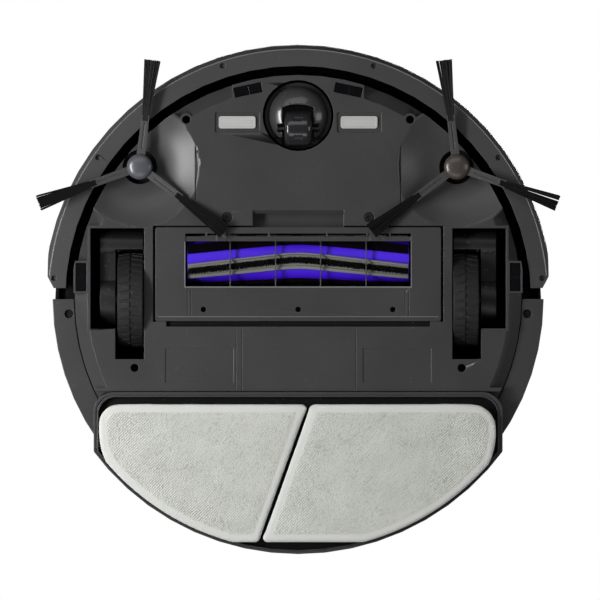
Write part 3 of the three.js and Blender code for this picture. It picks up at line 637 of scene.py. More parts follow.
def makeChassis():
    look, low = chassis, chassis["toolLow"]
    piece = copyOfNode("lower_chassis", "chassisShell")
    tools = []
    for hand, side in sides.items():
        hub = jointPlace[f"side_brush_{hand}_spin"]
        tools.append(bowlTool(hub))
        tools.append(addPost("seat", hub.x, hub.y, look["seatLow"], look["seatHigh"], look["seatRadius"], 64))
        x, half = side * look["foldX"], look["foldHalf"]
        tools.append(addBlock("fold", (x - half, look["foldFront"], low),
                              (x + half, look["foldRear"], look["foldTop"])))
        for inner in look["grooves"][hand]:
            x, half = side * inner, look["grooveHalf"]
            tools.append(addBlock("groove", (x - half, look["grooveFront"], low),
                                  (x + half, look["grooveRear"], look["grooveTop"])))
    for side in (1, -1):
        tools.append(addBlock("sideGap", (side * gap["inner"], gap["sideFront"], low),
                              (side * gap["outer"], gap["rear"], gap["top"])))
    tools.append(addBlock("frontGap", (-gap["outer"], gap["front"], low),
                          (gap["outer"], gap["middle"], gap["top"])))
    cutAll(piece, tools)
    editAll(piece)
    bpy.ops.mesh.dissolve_degenerate(threshold=0.04 * mm)
    objectMode()
    smoothByAngle(piece, look["smoothing"])
    standFor(piece, finish["chassisPlastic"], "lower_chassis")
    holes = [Vector((side * x, y)) for side in (1, -1) for x, y in paintedShade["screwHoles"]]

    def inPaintedShade(centre, normal):
        x, y, z = centre / mm
        if z > paintedShade["z"]:
            return True
        if z > paintedShade["wellZ"] and abs(x) < paintedShade["wellX"] and paintedShade["wellFront"] < y < paintedShade["wellRear"]:
            return True
        if z <= paintedShade["gapZ"]:
            return False
        inGap = paintedShade["gapFront"] < y < paintedShade["gapRear"] and abs(x) < paintedShade["gapOuter"]
        if inGap and (abs(x) > paintedShade["gapInner"] or y < paintedShade["gapMiddle"]):
            return True
        return any((Vector((x, y)) - hole).length < paintedShade["holeReach"] for hole in holes)

    # painted shade: faces far inside the wells, gaps and screw holes are made near-black
    return secondFinish(piece, finish["wellPlastic"], inPaintedShade)


makeChassis()
print("chassis made")

# brush guard
guard = dict(panelX=77.2, panelStep=2.6, panelFront=-6.2, panelRear=12.6, panelTop=10.1, grooveHalf=0.22,
             halfWidth=98, foldY=13.2, foldHalf=0.35, foldHighlight=0.9, foldTop=10.2, toolLow=8,
             tabs=(20.3, 48.2, 64.0), tickHalf=0.6, tickFront=-46.6, tickRear=-43.2, tickLow=9.5,
             tickTop=11.8, smoothing=14)
# painted highlight: thin light grey strips round the window and along the fold
windowHighlight = dict(width=78.9, front=-8.6, rear=-7.6, rearLow=9.3, inner=78.6, outer=79.3, sideFront=-40,
                 low=9.4, top=10.4, edge=0.12)


def makeGuard():
    look, lip = guard, windowHighlight
    piece = copyOfNode("brush_guard", "brushGuard")
    tools = []
    low, wide, foldY = look["toolLow"], look["halfWidth"], look["foldY"]
    for side in (1, -1):
        for inner in (look["panelX"], look["panelX"] - look["panelStep"]):
            x, half = side * inner, look["grooveHalf"]
            tools.append(addBlock("groove", (x - half, look["panelFront"], low),
                                  (x + half, look["panelRear"], look["panelTop"])))
    tools.append(addBlock("fold", (-wide, foldY - look["foldHalf"], low),
                          (wide, foldY + look["foldHalf"], look["foldTop"])))
    cutAll(piece, tools)
    smoothByAngle(piece, look["smoothing"])
    standFor(piece, finish["chassisPlastic"], "brush_guard")
    ticks = []
    for side in (1, -1):
        for tab in look["tabs"]:
            x, half = side * tab, look["tickHalf"]
            tick = addBlock("tick", (x - half, look["tickFront"], look["tickLow"]),
                            (x + half, look["tickRear"], look["tickTop"]))
            ticks.append(roundEdges(tick, 0.2))
    ticks = joinPieces(ticks)
    ticks.name = "guardTicks"
    rideAlong(smoothByAngle(ticks), finish["chassisPlastic"], "brush_guard")
    # painted highlight strips along the lit edges of the window and the fold
    lines = [addBlock("rearHighlight", (-lip["width"], lip["front"], lip["rearLow"]),
                      (lip["width"], lip["rear"], lip["top"]))]
    for side in (1, -1):
        lines.append(addBlock("sideHighlight", (side * lip["inner"], lip["sideFront"], lip["low"]),
                              (side * lip["outer"], lip["rear"], lip["top"])))
    lines.append(addBlock("foldHighlight", (-wide, foldY - look["foldHighlight"], lip["low"]),
                          (wide, foldY - look["foldHalf"], look["foldTop"])))
    highlights = joinPieces([roundEdges(line, lip["edge"]) for line in lines])
    highlights.name = "guardHighlights"
    rideAlong(smoothByAngle(highlights), finish["paintedHighlightGrey"], "brush_guard")


makeGuard()
print("guard made")

# side brushes
sideBrush = dict(capRadius=8.9, capLow=5.8, seatZ=15, armInner=6, armOuter=36.5, armHalf=3.0, armZ=11.6,
                 dip=0.1,
                 slotInner=13, slotOuter=31, angles=(-83, 37, 160), tuftInner=32, tuftOuter=75.3,
                 tuftHalf=5.5,
                 strands=84, strandRadius=0.42, seed=11)


def domeProfile(radius, low, high, steps=8):
    profile = [(0, low)]
    for step in range(1, steps + 1):
        angle = math.pi / 2 * step / steps
        profile.append((radius * math.sin(angle), low + (radius * 0.42) * (1 - math.cos(angle))))
    return profile + [(radius, high), (0, high)]


def makeArms(hand, side):
    look = sideBrush
    arms = []
    for angle in look["angles"]:
        arm = addBlock("arm", (look["armInner"], -look["armHalf"], -1.2),
                       (look["armOuter"], look["armHalf"], 1.2))
        for vertex in arm.data.vertices:
            if vertex.co.x > 0.03:
                vertex.co.y *= 0.9
        slot = addBlock("slot", (look["slotInner"], -0.45, -2), (look["slotOuter"], 0.45, -0.55))
        combine(arm, slot)
        mouth = addBlock("mouth", (look["armOuter"] - 4, -1.9, -2), (look["armOuter"] + 2, 1.9, 0.6))
        combine(arm, mouth)
        roundEdges(arm, 0.35)
        arm.data.transform(Matrix.Rotation(look["dip"], 4, "Y"))
        arm.data.transform(Matrix.Rotation(math.radians(180 - angle if side > 0 else angle), 4, "Z"))
        arms.append(arm)
    collar = spinProfile("collar", [(0, 1.4), (7.6, 1.4), (8.4, 0.6), (8.4, -1.4), (0, -1.4)], steps=48)
    piece = joinPieces(arms + [collar])
    hub = jointPlace[f"side_brush_{hand}_spin"]
    piece.data.transform(Matrix.Translation(Vector((hub.x, hub.y, look["armZ"])) * mm))
    piece.name = f"sideBrushArms_{hand}"
    return piece


def strandBetween(pattern, start, end, before):
    # a copy of a pattern of length 1, stretched from start to end in millimetres and then moved
    run = (end - start) * mm
    strand = extraCopy(pattern, "strand")
    aim = Vector((0, 0, 1)).rotation_difference(run).to_matrix().to_4x4()
    place = Matrix.Translation(start * mm + run / 2) @ aim @ Matrix.Diagonal((1, 1, run.length, 1))
    strand.data.transform(before @ place)
    return strand


def makeTufts(hand, side):
    look = sideBrush
    spread = random.Random(look["seed"] + side)
    onlyDeselect()
    radius = look["strandRadius"] * mm
    bpy.ops.mesh.primitive_cone_add(vertices=5, radius1=radius, radius2=radius * 0.7, depth=1)
    pattern = bpy.context.object
    strands = []
    hub = jointPlace[f"side_brush_{hand}_spin"]
    for angle in look["angles"]:
        facing = Matrix.Rotation(math.radians(180 - angle if side > 0 else angle), 4, "Z")
        move = Matrix.Translation(Vector((hub.x, hub.y, look["armZ"])) * mm)
        before = move @ facing @ Matrix.Rotation(look["dip"], 4, "Y")
        for index in range(look["strands"]):
            half = 1 if index % 2 else -1
            share = spread.uniform(0, 1)
            start = Vector((look["tuftInner"], half * share * 1.8, spread.uniform(-0.9, 0.5)))
            reach = look["tuftOuter"] - spread.uniform(0, 0.9)
            end = Vector((reach, half * share * look["tuftHalf"], spread.uniform(-1.0, 0.6)))
            strands.append(strandBetween(pattern, start, end, before))
    bpy.data.objects.remove(pattern)
    tufts = joinPieces(strands)
    tufts.name = f"sideBrushTufts_{hand}"
    return tufts


for hand, side in sides.items():
    node = f"side_brush_{hand}"
    hub = jointPlace[f"side_brush_{hand}_spin"]
    standFor(smoothByAngle(makeArms(hand, side)), finish["brushPlastic"], node)
    cap = spinProfile(f"hubCap_{hand}", domeProfile(sideBrush["capRadius"], sideBrush["capLow"],
                                                    sideBrush["seatZ"]),
                      steps=64, centre=(hub.x, hub.y))
    rideAlong(smoothByAngle(roundEdges(cap, 0.2)), finish["hubCap" if side < 0 else "hubCapWarm"], node)
    tufts = makeTufts(hand, side)
    rideAlong(smoothByAngle(tufts, 60), finish["tuftBristle"], node)
print("side brushes made")

# caster
caster = dict(domeRadius=20.7, domeLow=5.2, domeTop=16.6, collarRadius=23.4, collarLow=19, top=28,
              stemRadius=6, stemTop=41, rearCut=-112.4, windowHalf=11.0, windowFront=-133.8, windowBow=1.6,
              pinHalf=2.9, pinReach=14.4)


def makeCaster():
    look = caster
    swivel = jointPlace["caster_swivel"]
    axle = jointPlace["caster_roll"]
    profile = [(0, look["domeLow"])]
    profile += [(5, 5.35), (9, 5.9), (12.5, 6.9), (15.4, 8.3), (17.6, 10.0), (19.2, 12.0), (20.2, 14.2)]
    profile += [(look["domeRadius"], height) for height in (look["domeTop"], look["collarLow"])]
    profile += [(look["collarRadius"], height) for height in (look["collarLow"], look["top"])]
    profile += [(look["stemRadius"], look["top"]), (look["stemRadius"], look["stemTop"]),
                (0, look["stemTop"])]
    dome = spinProfile("casterDome", profile, steps=96, centre=(swivel.x, swivel.y))
    half = look["windowHalf"]
    front = [(-half, look["windowFront"] + 0.4), (-half / 2, look["windowFront"] - look["windowBow"] * 0.8),
             (0, look["windowFront"] - look["windowBow"]),
             (half / 2, look["windowFront"] - look["windowBow"] * 0.8),
             (half, look["windowFront"] + 0.4)]
    window = raiseOutline("window", front + [(half, -90), (-half, -90)], 0, 27)
    rear = addBlock("rear", (-30, look["rearCut"], 0), (30, -90, look["collarLow"] + 2))
    pins = addBlock("pins", (-look["pinReach"], axle.y - look["pinHalf"], 0),
                    (look["pinReach"], axle.y + look["pinHalf"], 15))
    cutAll(dome, [window, rear, pins])
    roundEdges(dome, 0.45, segments=3)
    standFor(smoothByAngle(dome, 40), finish["casterPlastic"], "caster_housing")


def makeCasterWheel():
    axle = jointPlace["caster_roll"]
    profile = [(1.8, -9.8), (8.6, -9.8), (9.8, -9.2), (11.2, -8.6), (12.1, -7.2), (12.4, -5.4),
               (12.5, -2.4), (12.5, 2.4),
               (12.4, 5.4), (12.1, 7.2), (11.2, 8.6), (9.8, 9.2), (8.6, 9.8), (1.8, 9.8)]
    wheel = spinProfile("casterWheel", profile, steps=72, centre=(axle.y, axle.z), alongX=True)
    notches = []
    for turn in range(6):
        notch = addBlock("notch", (-3.2, axle.y - 1.4, axle.z - 13.4), (3.2, axle.y + 1.4, axle.z - 11.9))
        turnPiece(notch, 60 * turn + 30, (0, axle.y, axle.z), "X")
        notches.append(notch)
    cutAll(wheel, notches)
    standFor(smoothByAngle(roundEdges(wheel, 0.25, degrees=40), 40), finish["casterTyre"], "caster_wheel")


makeCaster()
makeCasterWheel()
print("caster made")

# drive wheels and their arms
tyre = dict(radius=32.4, lugRadius=33.5, half=9, lugs=34, lugHalf=2.05, lugDepth=1.4, middleGap=0.5)


def makeTyre(hand, side):
    look = tyre
    low, high = (Vector(corner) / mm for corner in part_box(f"tyre_{hand}"))
    centre = (low + high) / 2
    half = look["half"]
    r = look["radius"]
    profile = [(25.9, -half + 0.4), (27, -half), (r - 1.4, -half), (r - 0.4, -half + 0.7), (r, -half + 1.8),
               (r, half - 1.8),
               (r - 0.4, half - 0.7), (r - 1.4, half), (27, half), (25.9, half - 0.4)]
    body = spinProfile("tyreBody", profile, steps=96, centre=(centre.y, centre.z), alongX=True)
    shift = Matrix.Translation((centre.x * mm, 0, 0))
    body.data.transform(shift)
    lug = addBlock("lug", (centre.x + look["middleGap"], centre.y - look["lugHalf"],
                           centre.z - look["lugRadius"]),
                   (centre.x + half - 0.5, centre.y + look["lugHalf"],
                    centre.z - look["lugRadius"] + look["lugDepth"] + 0.8))
    for vertex in lug.data.vertices:
        if vertex.co.x > (centre.x + 4) * mm:
            vertex.co.y += 1.5 * mm
            if vertex.co.z < (centre.z - look["lugRadius"] + 0.5) * mm:
                vertex.co.z += 0.7 * mm
    roundEdges(lug, 0.3, segments=2)
    lugs = []
    for turn in range(look["lugs"]):
        for mirror in (1, -1):
            copy = extraCopy(lug, "lug")
            if mirror < 0:
                copy.data.transform(shift @ Matrix.Diagonal((-1, 1, 1, 1)) @ shift.inverted())
                copy.data.flip_normals()
            turnPiece(copy, 360 / look["lugs"] * (turn + (0.5 if mirror < 0 else 0)), centre, "X")
            lugs.append(copy)
    bpy.data.objects.remove(lug)
    piece = joinPieces([body] + lugs)
    piece.name = f"tyreTread_{hand}"
    standFor(smoothByAngle(piece), finish["tyreRubber"], f"tyre_{hand}")


def makeArm(hand):
    node = f"suspension_arm_{hand}"
    piece = copyOfNode(node, f"suspensionArm_{hand}")
    standFor(smoothByAngle(roundEdges(piece, 0.3), 34), finish["armPlastic"], node)


for hand, side in sides.items():
    makeTyre(hand, side)
    makeArm(hand)
print("drive wheels made")

# main brush
roller = dict(coreRadius=15.4, endRadius=13.1, axleRadius=4, half=79, twist=31, apex=9, bladeSteps=64,
              finRoot=15.6, finBase=16.5,
              finTip=18.1, bristleRoot=16.6, bristleTip=18.6, endGap=2.6, strandsAlong=210,
              strandRadius=0.5, seed=5,
              sweepLead=55, sweepWidth=7.6, sweepRoot=15.6, sweepTip=17.9)


def twistAlong(piece, degrees):
    # chevron: every point turns about the brush axis by its distance from the middle
    axis = jointPlace["roller_spin"]
    for vertex in piece.data.vertices:
        offset = vertex.co - axis * mm
        apex = roller["apex"] * mm
        reach = math.sqrt(offset.x ** 2 + apex ** 2) - apex
        angle = math.radians(roller["twist"]) * reach / (roller["half"] * mm)
        turn = Matrix.Rotation(angle + math.radians(degrees), 3, "X")
        vertex.co = axis * mm + turn @ offset
    return piece


def makeLip(name, inner, outer, thickness, lean):
    # a rubber lip along the brush, standing on +Z before it is twisted
    axis = jointPlace["roller_spin"]
    half = roller["half"] - 2.2
    lip = addBlock(name, (-half, axis.y - thickness / 2, axis.z + inner),
                   (half, axis.y + thickness / 2, axis.z + outer))
    for vertex in lip.data.vertices:
        if vertex.co.z > (axis.z + outer - 0.5) * mm:
            vertex.co.y = axis.y * mm + (vertex.co.y - axis.y * mm) * 0.7
    editAll(lip)
    bpy.ops.mesh.select_all(action="DESELECT")
    bpy.ops.mesh.select_mode(type="EDGE")
    objectMode()
    for edge in lip.data.edges:
        a, b = (lip.data.vertices[index].co for index in edge.vertices)
        edge.select = abs(a.x - b.x) > half * mm
    bpy.ops.object.mode_set(mode="EDIT")
    bpy.ops.mesh.subdivide(number_cuts=roller["bladeSteps"] - 1)
    objectMode()
    roundEdges(lip, 0.3, segments=2, degrees=50)
    turnPiece(lip, lean, axis, "X")
    return lip


def makeBristles(index):
    look = roller
    axis = jointPlace["roller_spin"]
    spread = random.Random(look["seed"] + index)
    onlyDeselect()
    radius = look["strandRadius"] * mm
    bpy.ops.mesh.primitive_cone_add(vertices=4, radius1=radius, radius2=radius * 0.6, depth=1)
    pattern = bpy.context.object
    tufts = []
    reach, move = look["half"] - look["endGap"], Matrix.Translation(axis * mm)
    for row in (-1.4, -0.7, 0, 0.7, 1.4):
        for step in range(look["strandsAlong"]):
            x = -reach + 2 * reach * (step + spread.uniform(-0.3, 0.3)) / (look["strandsAlong"] - 1)
            tip = look["bristleTip"] - spread.uniform(0, 0.4)
            start = Vector((x, row, look["bristleRoot"]))
            end = Vector((x + spread.uniform(-0.5, 0.5), row * 1.5 + spread.uniform(-0.45, 0.45), tip))
            tufts.append(strandBetween(pattern, start, end, move))
    bpy.data.objects.remove(pattern)
    piece = joinPieces(tufts)
    piece.name = f"brushBristles_{index + 1}"
    return piece


def makeRoller():
    look = roller
    axis = jointPlace["roller_spin"]
    half = look["half"]
    r, endRadius = look["coreRadius"], look["endRadius"]
    # (radius, distance past the end of the brush), from the core out to its axle
    endProfile = [(r, -1.7), (r - 0.4, -1.3), (endRadius, -1.2), (endRadius, 2.5), (endRadius - 0.5, 3)]
    endProfile += [(look["axleRadius"], 3), (look["axleRadius"], 6), (0, 6)]
    profile = [(radius, -half - out) for radius, out in reversed(endProfile)]
    profile += [(radius, half + out) for radius, out in endProfile]
    core = spinProfile("brushCore", profile, steps=72, centre=(axis.y, axis.z), alongX=True)
    standFor(smoothByAngle(core), finish["brushBlue"], "roller_core")
    secondFinish(core, finish["wellPlastic"], lambda centre, normal: abs(centre.x) > (half - 2) * mm)
    for index in range(3):
        degrees = 60 + 120 * index
        front = makeLip("lipFront", look["finRoot"], look["finTip"], 1.5, -15)
        rear = makeLip("lipRear", look["finRoot"], look["finTip"] - 0.3, 2.8, 17)
        base = makeLip("base", look["finRoot"], look["finBase"], 8.4, 0)
        fin = joinPieces([base, front, rear])
        fin.name = f"brushLips_{index + 1}"
        twistAlong(fin, degrees)
        standFor(smoothByAngle(fin), finish["finRubber"], f"roller_fin_{index + 1}")
        bristles = twistAlong(makeBristles(index), degrees)
        standFor(smoothByAngle(bristles, 60), finish["brushBristle"], f"roller_bristle_{index + 1}")
    sweepers = []
    for index in range(3):
        strip = makeLip("sweep", look["sweepRoot"], look["sweepTip"], look["sweepWidth"], 0)
        sweepers.append(twistAlong(strip, 180 - look["sweepLead"] + 120 * index))
    sweeper = joinPieces(sweepers)
    sweeper.name = "brushSweeper"
    standFor(smoothByAngle(sweeper), finish["sweepRubber"], "roller_sweeper")


makeRoller()
print("main brush made")

# charging contacts, cliff windows and screws
contact = dict(lineInset=1.3, lineWidth=0.25)


def makeContact(hand):
    low, high = (Vector(corner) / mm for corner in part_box(f"charge_contact_{hand}"))
    corners = lambda inset, radius: [(low.x + inset, low.y + inset, radius),
                                     (high.x - inset, low.y + inset, radius),
                                     (high.x - inset, high.y - inset, radius),
                                     (low.x + inset, high.y - inset, radius)]
    plate = raiseOutline(f"chargePlate_{hand}", roundOutline(corners(0, 1.7)), low.z, high.z)
    ring = raiseOutline("ring", roundOutline(corners(contact["lineInset"], 1.2)), low.z - 1, low.z + 0.18)
    core = raiseOutline("core", roundOutline(corners(contact["lineInset"] + contact["lineWidth"], 1.0)),
                        low.z - 2, low.z + 1)
    combine(ring, core)
    combine(plate, ring)
    roundEdges(plate, 0.15)
    standFor(smoothByAngle(plate), finish["contactMetal"], f"charge_contact_{hand}")


def makeCliffWindow(node, turn):
    low, high = (Vector(corner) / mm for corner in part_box(node))
    centre = (low + high) / 2
    piece = copyOfNode(node, node + "_glass")
    x, y = (6, 0.4) if turn is None else (0.4, 6)
    bar = addBlock("bar", (centre.x - x, centre.y - y, low.z - 1), (centre.x + x, centre.y + y, low.z + 0.8))
    if turn is not None:
        turnPiece(bar, turn, centre)
    combine(piece, bar)
    roundEdges(piece, 0.25)
    standFor(smoothByAngle(piece), finish["glossBlack"], node)


for hand, side in sides.items():
    makeContact(hand)
    makeCliffWindow(f"cliff_sensor_front_{hand}", side * 12)
    makeCliffWindow(f"cliff_sensor_side_{hand}", None)
    screw = copyOfNode(f"chassis_screw_{hand}", f"screwHead_{hand}")
    standFor(smoothByAngle(roundEdges(screw, 0.12)), finish["darkSteel"], f"chassis_screw_{hand}")
print("contacts and windows made")

# mop pads
pad = dict(inset=0.3, front=72.9, rear=170.2, outerRadius=176.2, corner=dict(left=17, right=14),
           splitFront=(7.2, 75.2),
           splitRear=(-25.2, 169), gap=0.45, notch=3.2, low=0.4, high=5.6, voxel=3.0, swellCap=0.7, hem=5.6,
           fill=0.4)


def padOutline(hand):
    # walks round one half of the cloth: split edge, front, side, rear arc
    look = pad
    side = sides[hand]
    low, high = (Vector(corner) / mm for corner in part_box(f"mop_pad_{hand}"))
    edgeX = high.x - look["inset"] if side > 0 else low.x + look["inset"]
    splitAt = lambda y: look["splitFront"][0] + (look["splitRear"][0] - look["splitFront"][0]) * (
        (y - look["splitFront"][1]) / (look["splitRear"][1] - look["splitFront"][1])) + side * look["gap"]
    front, rear, radius = look["front"], look["rear"], look["outerRadius"]
    turn = look["corner"][hand]
    corners = [(splitAt(front), front, look["notch"]), (edgeX, front, turn), (edgeX, front + 40, 0),
               (splitAt(rear), rear, 0)]
    points = roundOutline(corners, 8)[:-2]
    sideY = math.sqrt(radius ** 2 - edgeX ** 2)
    shoulder = Vector((edgeX, sideY - 16))
    points.append((shoulder.x, shoulder.y))
    startAngle = math.atan2(sideY + 10, edgeX)
    rearAngle = math.asin(rear / radius)
    rearAngle = rearAngle if side > 0 else math.pi - rearAngle
    arcStart = Vector((radius * math.cos(startAngle), radius * math.sin(startAngle)))
    bend = Vector((edgeX, sideY - 4))
    for step in range(1, 8):
        t = step / 8
        points.append(tuple(shoulder * (1 - t) ** 2 + bend * 2 * t * (1 - t) + arcStart * t ** 2))
    for step in range(41):
        angle = startAngle + (rearAngle - startAngle) * step / 40
        points.append((radius * math.cos(angle), radius * math.sin(angle)))
    endX = splitAt(rear)
    points += [(endX + side * 2.4, rear), (endX + side * 0.8, rear - 1.0), (endX + side * 0.1, rear - 3)]
    return points


def distanceToOutline(point, outline):
    best = 1e9
    for index, start in enumerate(outline):
        a = Vector(start)
        b = Vector(outline[(index + 1) % len(outline)])
        run = b - a
        length = run.length_squared
        share = max(0, min(1, (point - a).dot(run) / length)) if length else 0
        best = min(best, (a + run * share - point).length)
    return best


def swell(piece):
    # cloth pressure rounds the pad, and no point may move further than the cap
    rest = [vertex.co.copy() for vertex in piece.data.vertices]
    onlySelect(piece)
    modifier = piece.modifiers.new("cloth", "CLOTH")
    modifier.settings.use_pressure = True
    modifier.settings.uniform_pressure_force = 4
    modifier.settings.effector_weights.gravity = 0
    modifier.settings.quality = 4
    modifier.point_cache.frame_start, modifier.point_cache.frame_end = 1, 20
    for step in range(1, 21):
        bpy.context.scene.frame_set(step)
    applyModifiers(piece)
    cap = pad["swellCap"] * mm
    for vertex, start in zip(piece.data.vertices, rest):
        move = vertex.co - start
        if move.length > cap:
            vertex.co = start + move.normalized() * cap
    bpy.context.scene.frame_set(1)


def makePad(hand):
    look = pad
    outline = padOutline(hand)
    piece = raiseOutline(f"mopPad_{hand}", outline, look["low"] + 0.5, look["high"] - 0.5)
    onlySelect(piece)
    piece.data.remesh_voxel_size = look["voxel"] * mm
    bpy.ops.object.voxel_remesh()
    swell(piece)
    modifier = piece.modifiers.new("finer", "SUBSURF")
    modifier.levels = modifier.render_levels = 1
    applyModifiers(piece)
    hem = piece.data.attributes.new("hem", "FLOAT", "POINT")
    for index, vertex in enumerate(piece.data.vertices):
        inside = distanceToOutline(Vector((vertex.co.x / mm, vertex.co.y / mm)), outline)
        hem.data[index].value = max(0, min(1, (look["hem"] - inside) / 1.2 + 0.5))
        seam = math.exp(-((inside - look["hem"]) / 0.7) ** 2)
        low, high = look["low"] * mm, look["high"] * mm
        middle = (low + high) / 2
        vertex.co.z = middle + (vertex.co.z - middle) * (1 - 0.12 * seam)
        vertex.co.z = max(0.05 * mm, min(6.15 * mm, vertex.co.z))
    onlySelect(piece)
    bpy.ops.object.shade_smooth()
    standFor(piece, finish["padCloth"], f"mop_pad_{hand}")


for hand in sides:
    makePad(hand)
print("mop pads made")

# a fine groove runs round the rim of the mop frame
frameGroove = dict(outer=1.5, inner=2.3, depth=0.9, halfWidth=142.5, front=65.1, corner=14, tailRadius=178)


def frameOutline(inset):
    look = frameGroove
    x, radius = look["halfWidth"] - inset, look["tailRadius"] - inset
    rounded = roundOutline([(0, 170, 0), (x, 170, 0), (x, look["front"] + inset, look["corner"] - inset / 2),
                            (-x, look["front"] + inset, look["corner"] - inset / 2), (-x, 170, 0)], 10)[2:-1]
    start = math.asin(math.sqrt(radius ** 2 - x ** 2) / radius)
    angles = [start + (math.pi - 2 * start) * step / 60 for step in range(61)]
    arc = [(radius * math.cos(angle), radius * math.sin(angle)) for angle in angles]
    return rounded + list(reversed(arc))


def grooveFrame(piece):
    look = frameGroove
    bottom = piece.bound_box[0][2] / mm
    ring = raiseOutline("ring", frameOutline(look["outer"]), bottom - 1, bottom + look["depth"])
    core = raiseOutline("core", frameOutline(look["inner"]), bottom - 2, bottom + look["depth"] + 1)
    combine(ring, core)
    combine(piece, ring)


# copies of the moulded nodes with rounded edges: width in millimetres
edgeWidths = {
    "rear_shell": 0.5, "bumper": 0.25, "top_cover": 0.5, "bin_lid": 0.5, "mop_frame": 0.3, "water_tank": 0.8,
    "lidar_base": 0.4, "lidar_cap": 0.5, "lidar_rotor": 0.4, "power_button": 0.3, "home_button": 0.3,
    "tank_release_button": 0.4, "wheel_hub_left": 0.5, "wheel_hub_right": 0.5,
}

# faces inside the shell that nobody sees straight on get a near-black finish as painted shade: tests take
# millimetres
inside = dict(bumperZ=15, shellZ=19, shellRadius=170, frameZ=11.9, facingDown=-0.5)
insideTests = {
    "bumper": lambda p, n: p.z > inside["bumperZ"] and n.xy.dot(p.xy) < 0,
    "top_cover": lambda p, n: n.z < inside["facingDown"],
    "rear_shell": lambda p, n: p.z > inside["shellZ"] and p.xy.length < inside["shellRadius"],
    "mop_frame": lambda p, n: p.z > inside["frameZ"] and n.z < inside["facingDown"],
}
smoothing = {"bumper": 20}
for node, width in edgeWidths.items():
    piece = copyOfNode(node, node + "_fine")
    if node == "mop_frame":
        grooveFrame(piece)
    roundEdges(piece, width)
    smoothByAngle(piece, smoothing.get(node, 32))
    standFor(piece, finishFor(node), node)
    if node in insideTests:
        # painted shade on the inner faces
        secondFinish(piece, finish["wellPlastic"], lambda centre,
                     normal: insideTests[node](centre / mm, normal))

# painted highlight: a light grey ring round the lower edge of the bumper
highlightRing = dict(radius=174.1, thickness=0.42, z=14.35, rearGap=9, segments=240, reach=200, top=40)
onlyDeselect()
bpy.ops.mesh.primitive_torus_add(
    major_radius=highlightRing["radius"] * mm, minor_radius=highlightRing["thickness"] * mm,
    major_segments=highlightRing["segments"], minor_segments=8, location=(0, 0, highlightRing["z"] * mm))
bumperHighlightLine = settlePlace(bpy.context.object)
bumperHighlightLine.name = "bumperHighlightLine"
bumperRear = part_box("bumper")[1].y / mm - highlightRing["rearGap"]
reach = highlightRing["reach"]
combine(bumperHighlightLine, addBlock("rearHalf", (-reach, bumperRear, 0), (reach, reach, highlightRing["top"])))
rideAlong(smoothByAngle(bumperHighlightLine), finish["paintedHighlightGrey"], "bumper")
print("shells made")

# camera straight below, front of the robot towards the top of the view
view = dict(distance=5, width=0.4175, offset=(0.0013, 0.0009))
cameraData = bpy.data.cameras.new("camera")
cameraData.sensor_width = 36.0
cameraData.lens = 36.0 * view["distance"] / view["width"]
cameraData.clip_end = 20.0
camera = bpy.data.objects.new("camera", cameraData)
camera.location = (*view["offset"], -view["distance"])
camera.rotation_euler = (math.pi, 0, 0)
bpy.context.scene.collection.objects.link(camera)
bpy.context.scene.camera = camera
bpy.context.scene.view_settings.view_transform = "Standard"


def softbox(name, place, target, size, power):
    data = bpy.data.lights.new(name, "AREA")
    data.shape = "RECTANGLE"
    data.size, data.size_y = size
    data.energy = power
    light = bpy.data.objects.new(name, data)
    light.visible_camera = False
    light.location = place
    light.rotation_euler = (Vector(target) - Vector(place)).to_track_quat("-Z", "Y").to_euler()
    bpy.context.scene.collection.objects.link(light)


# place, target and size in metres, power in watts
lamps = {
    "keyBelow": ((-0.78, -0.02, -0.68), (-0.1, -0.08, 0.02), (0.7, 0.2), 10.5),
    "fillBelow": ((0.85, -0.1, -0.5), (0.05, -0.04, 0.02), (0.3, 0.5), 1.1),
    "frontBelow": ((-0.15, -1.0, -1.3), (0, 0, 0.02), (1.5, 0.6), 3.5),
    "rearBelow": ((-0.1, 1.0, -1.2), (0, 0, 0.02), (1.4, 0.5), 3.5),
    "overhead": ((0.1, -0.15, 2.2), (0, 0, 0.05), (0.7, 0.7), 30),
    "keyAbove": ((-1.9, -0.7, 0.62), (0, 0, 0.05), (1.2, 0.4), 13),
    "fillAbove": ((1.8, 0.5, 0.7), (0, 0, 0.05), (0.9, 0.5), 8),
    "backAbove": ((-0.4, 1.9, 0.7), (0, 0, 0.05), (0.9, 0.5), 7),
}
for name, row in lamps.items():
    softbox(name, *row)

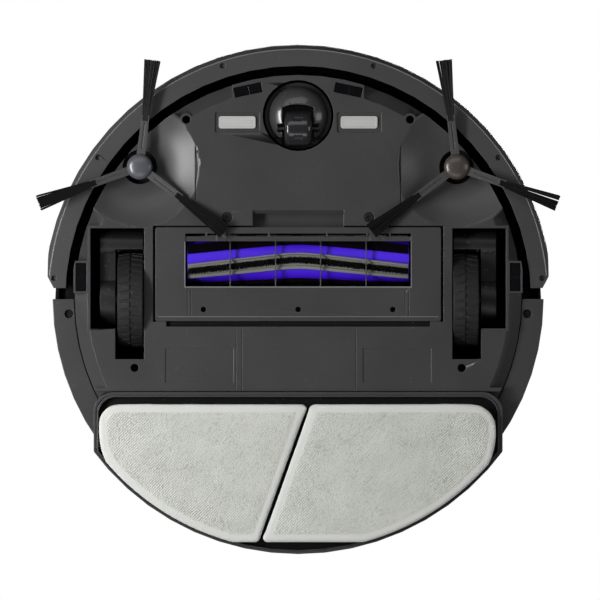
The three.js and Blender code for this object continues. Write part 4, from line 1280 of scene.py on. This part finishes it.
world = bpy.data.worlds.new("studio")
bpy.context.scene.world = world
world.use_nodes = True
worldTree = world.node_tree
background = worldTree.nodes["Background"]
lightPath = worldTree.nodes.new("ShaderNodeLightPath")
whole = mixColour(worldTree, lightPath.outputs["Is Camera Ray"], (0.07, 0.07, 0.072), (1.0, 1.0, 1.0))
worldTree.links.new(whole, background.inputs["Color"])


floorLook = dict(size=24, z=-0.4, rough=0.7, fadeStart=0.35, fadeEnd=2.4)


def makeFloor():
    # pale floor that shows from above only, so the view from below stays open
    onlyDeselect()
    bpy.ops.mesh.primitive_plane_add(size=floorLook["size"], location=(0, 0, floorLook["z"] * mm))
    floor = settlePlace(bpy.context.object)
    floor.name = "floor"
    material, tree, shader, coordinates = startMaterial("paleFloor")
    cloud = noiseNode(tree, coordinates, 3.0, 3.0)
    tree.links.new(mixColour(tree, cloud, (0.72, 0.72, 0.71), (0.78, 0.78, 0.77)),
                   shader.inputs["Base Color"])
    shader.inputs["Roughness"].default_value = floorLook["rough"]
    reach = tree.nodes.new("ShaderNodeVectorMath")
    reach.operation = "LENGTH"
    tree.links.new(coordinates, reach.inputs[0])
    fade = tree.nodes.new("ShaderNodeMapRange")
    fade.interpolation_type = "SMOOTHSTEP"
    fade.inputs["From Min"].default_value = floorLook["fadeStart"]
    fade.inputs["From Max"].default_value = floorLook["fadeEnd"]
    tree.links.new(reach.outputs["Value"], fade.inputs["Value"])
    tree.links.new(fade.outputs["Result"], shader.inputs["Emission Strength"])
    shader.inputs["Emission Color"].default_value = (1.0, 1.0, 1.0, 1.0)
    clear = tree.nodes.new("ShaderNodeBsdfTransparent")
    mixer = tree.nodes.new("ShaderNodeMixShader")
    geometry = tree.nodes.new("ShaderNodeNewGeometry")
    tree.links.new(geometry.outputs["Backfacing"], mixer.inputs["Fac"])
    tree.links.new(shader.outputs["BSDF"], mixer.inputs[1])
    tree.links.new(clear.outputs["BSDF"], mixer.inputs[2])
    tree.links.new(mixer.outputs["Shader"], tree.nodes["Material Output"].inputs["Surface"])
    floor.data.materials.append(material)
    floor.visible_diffuse = False
    floor.visible_glossy = False
    floor.visible_shadow = False


makeFloor()
print("stage made")
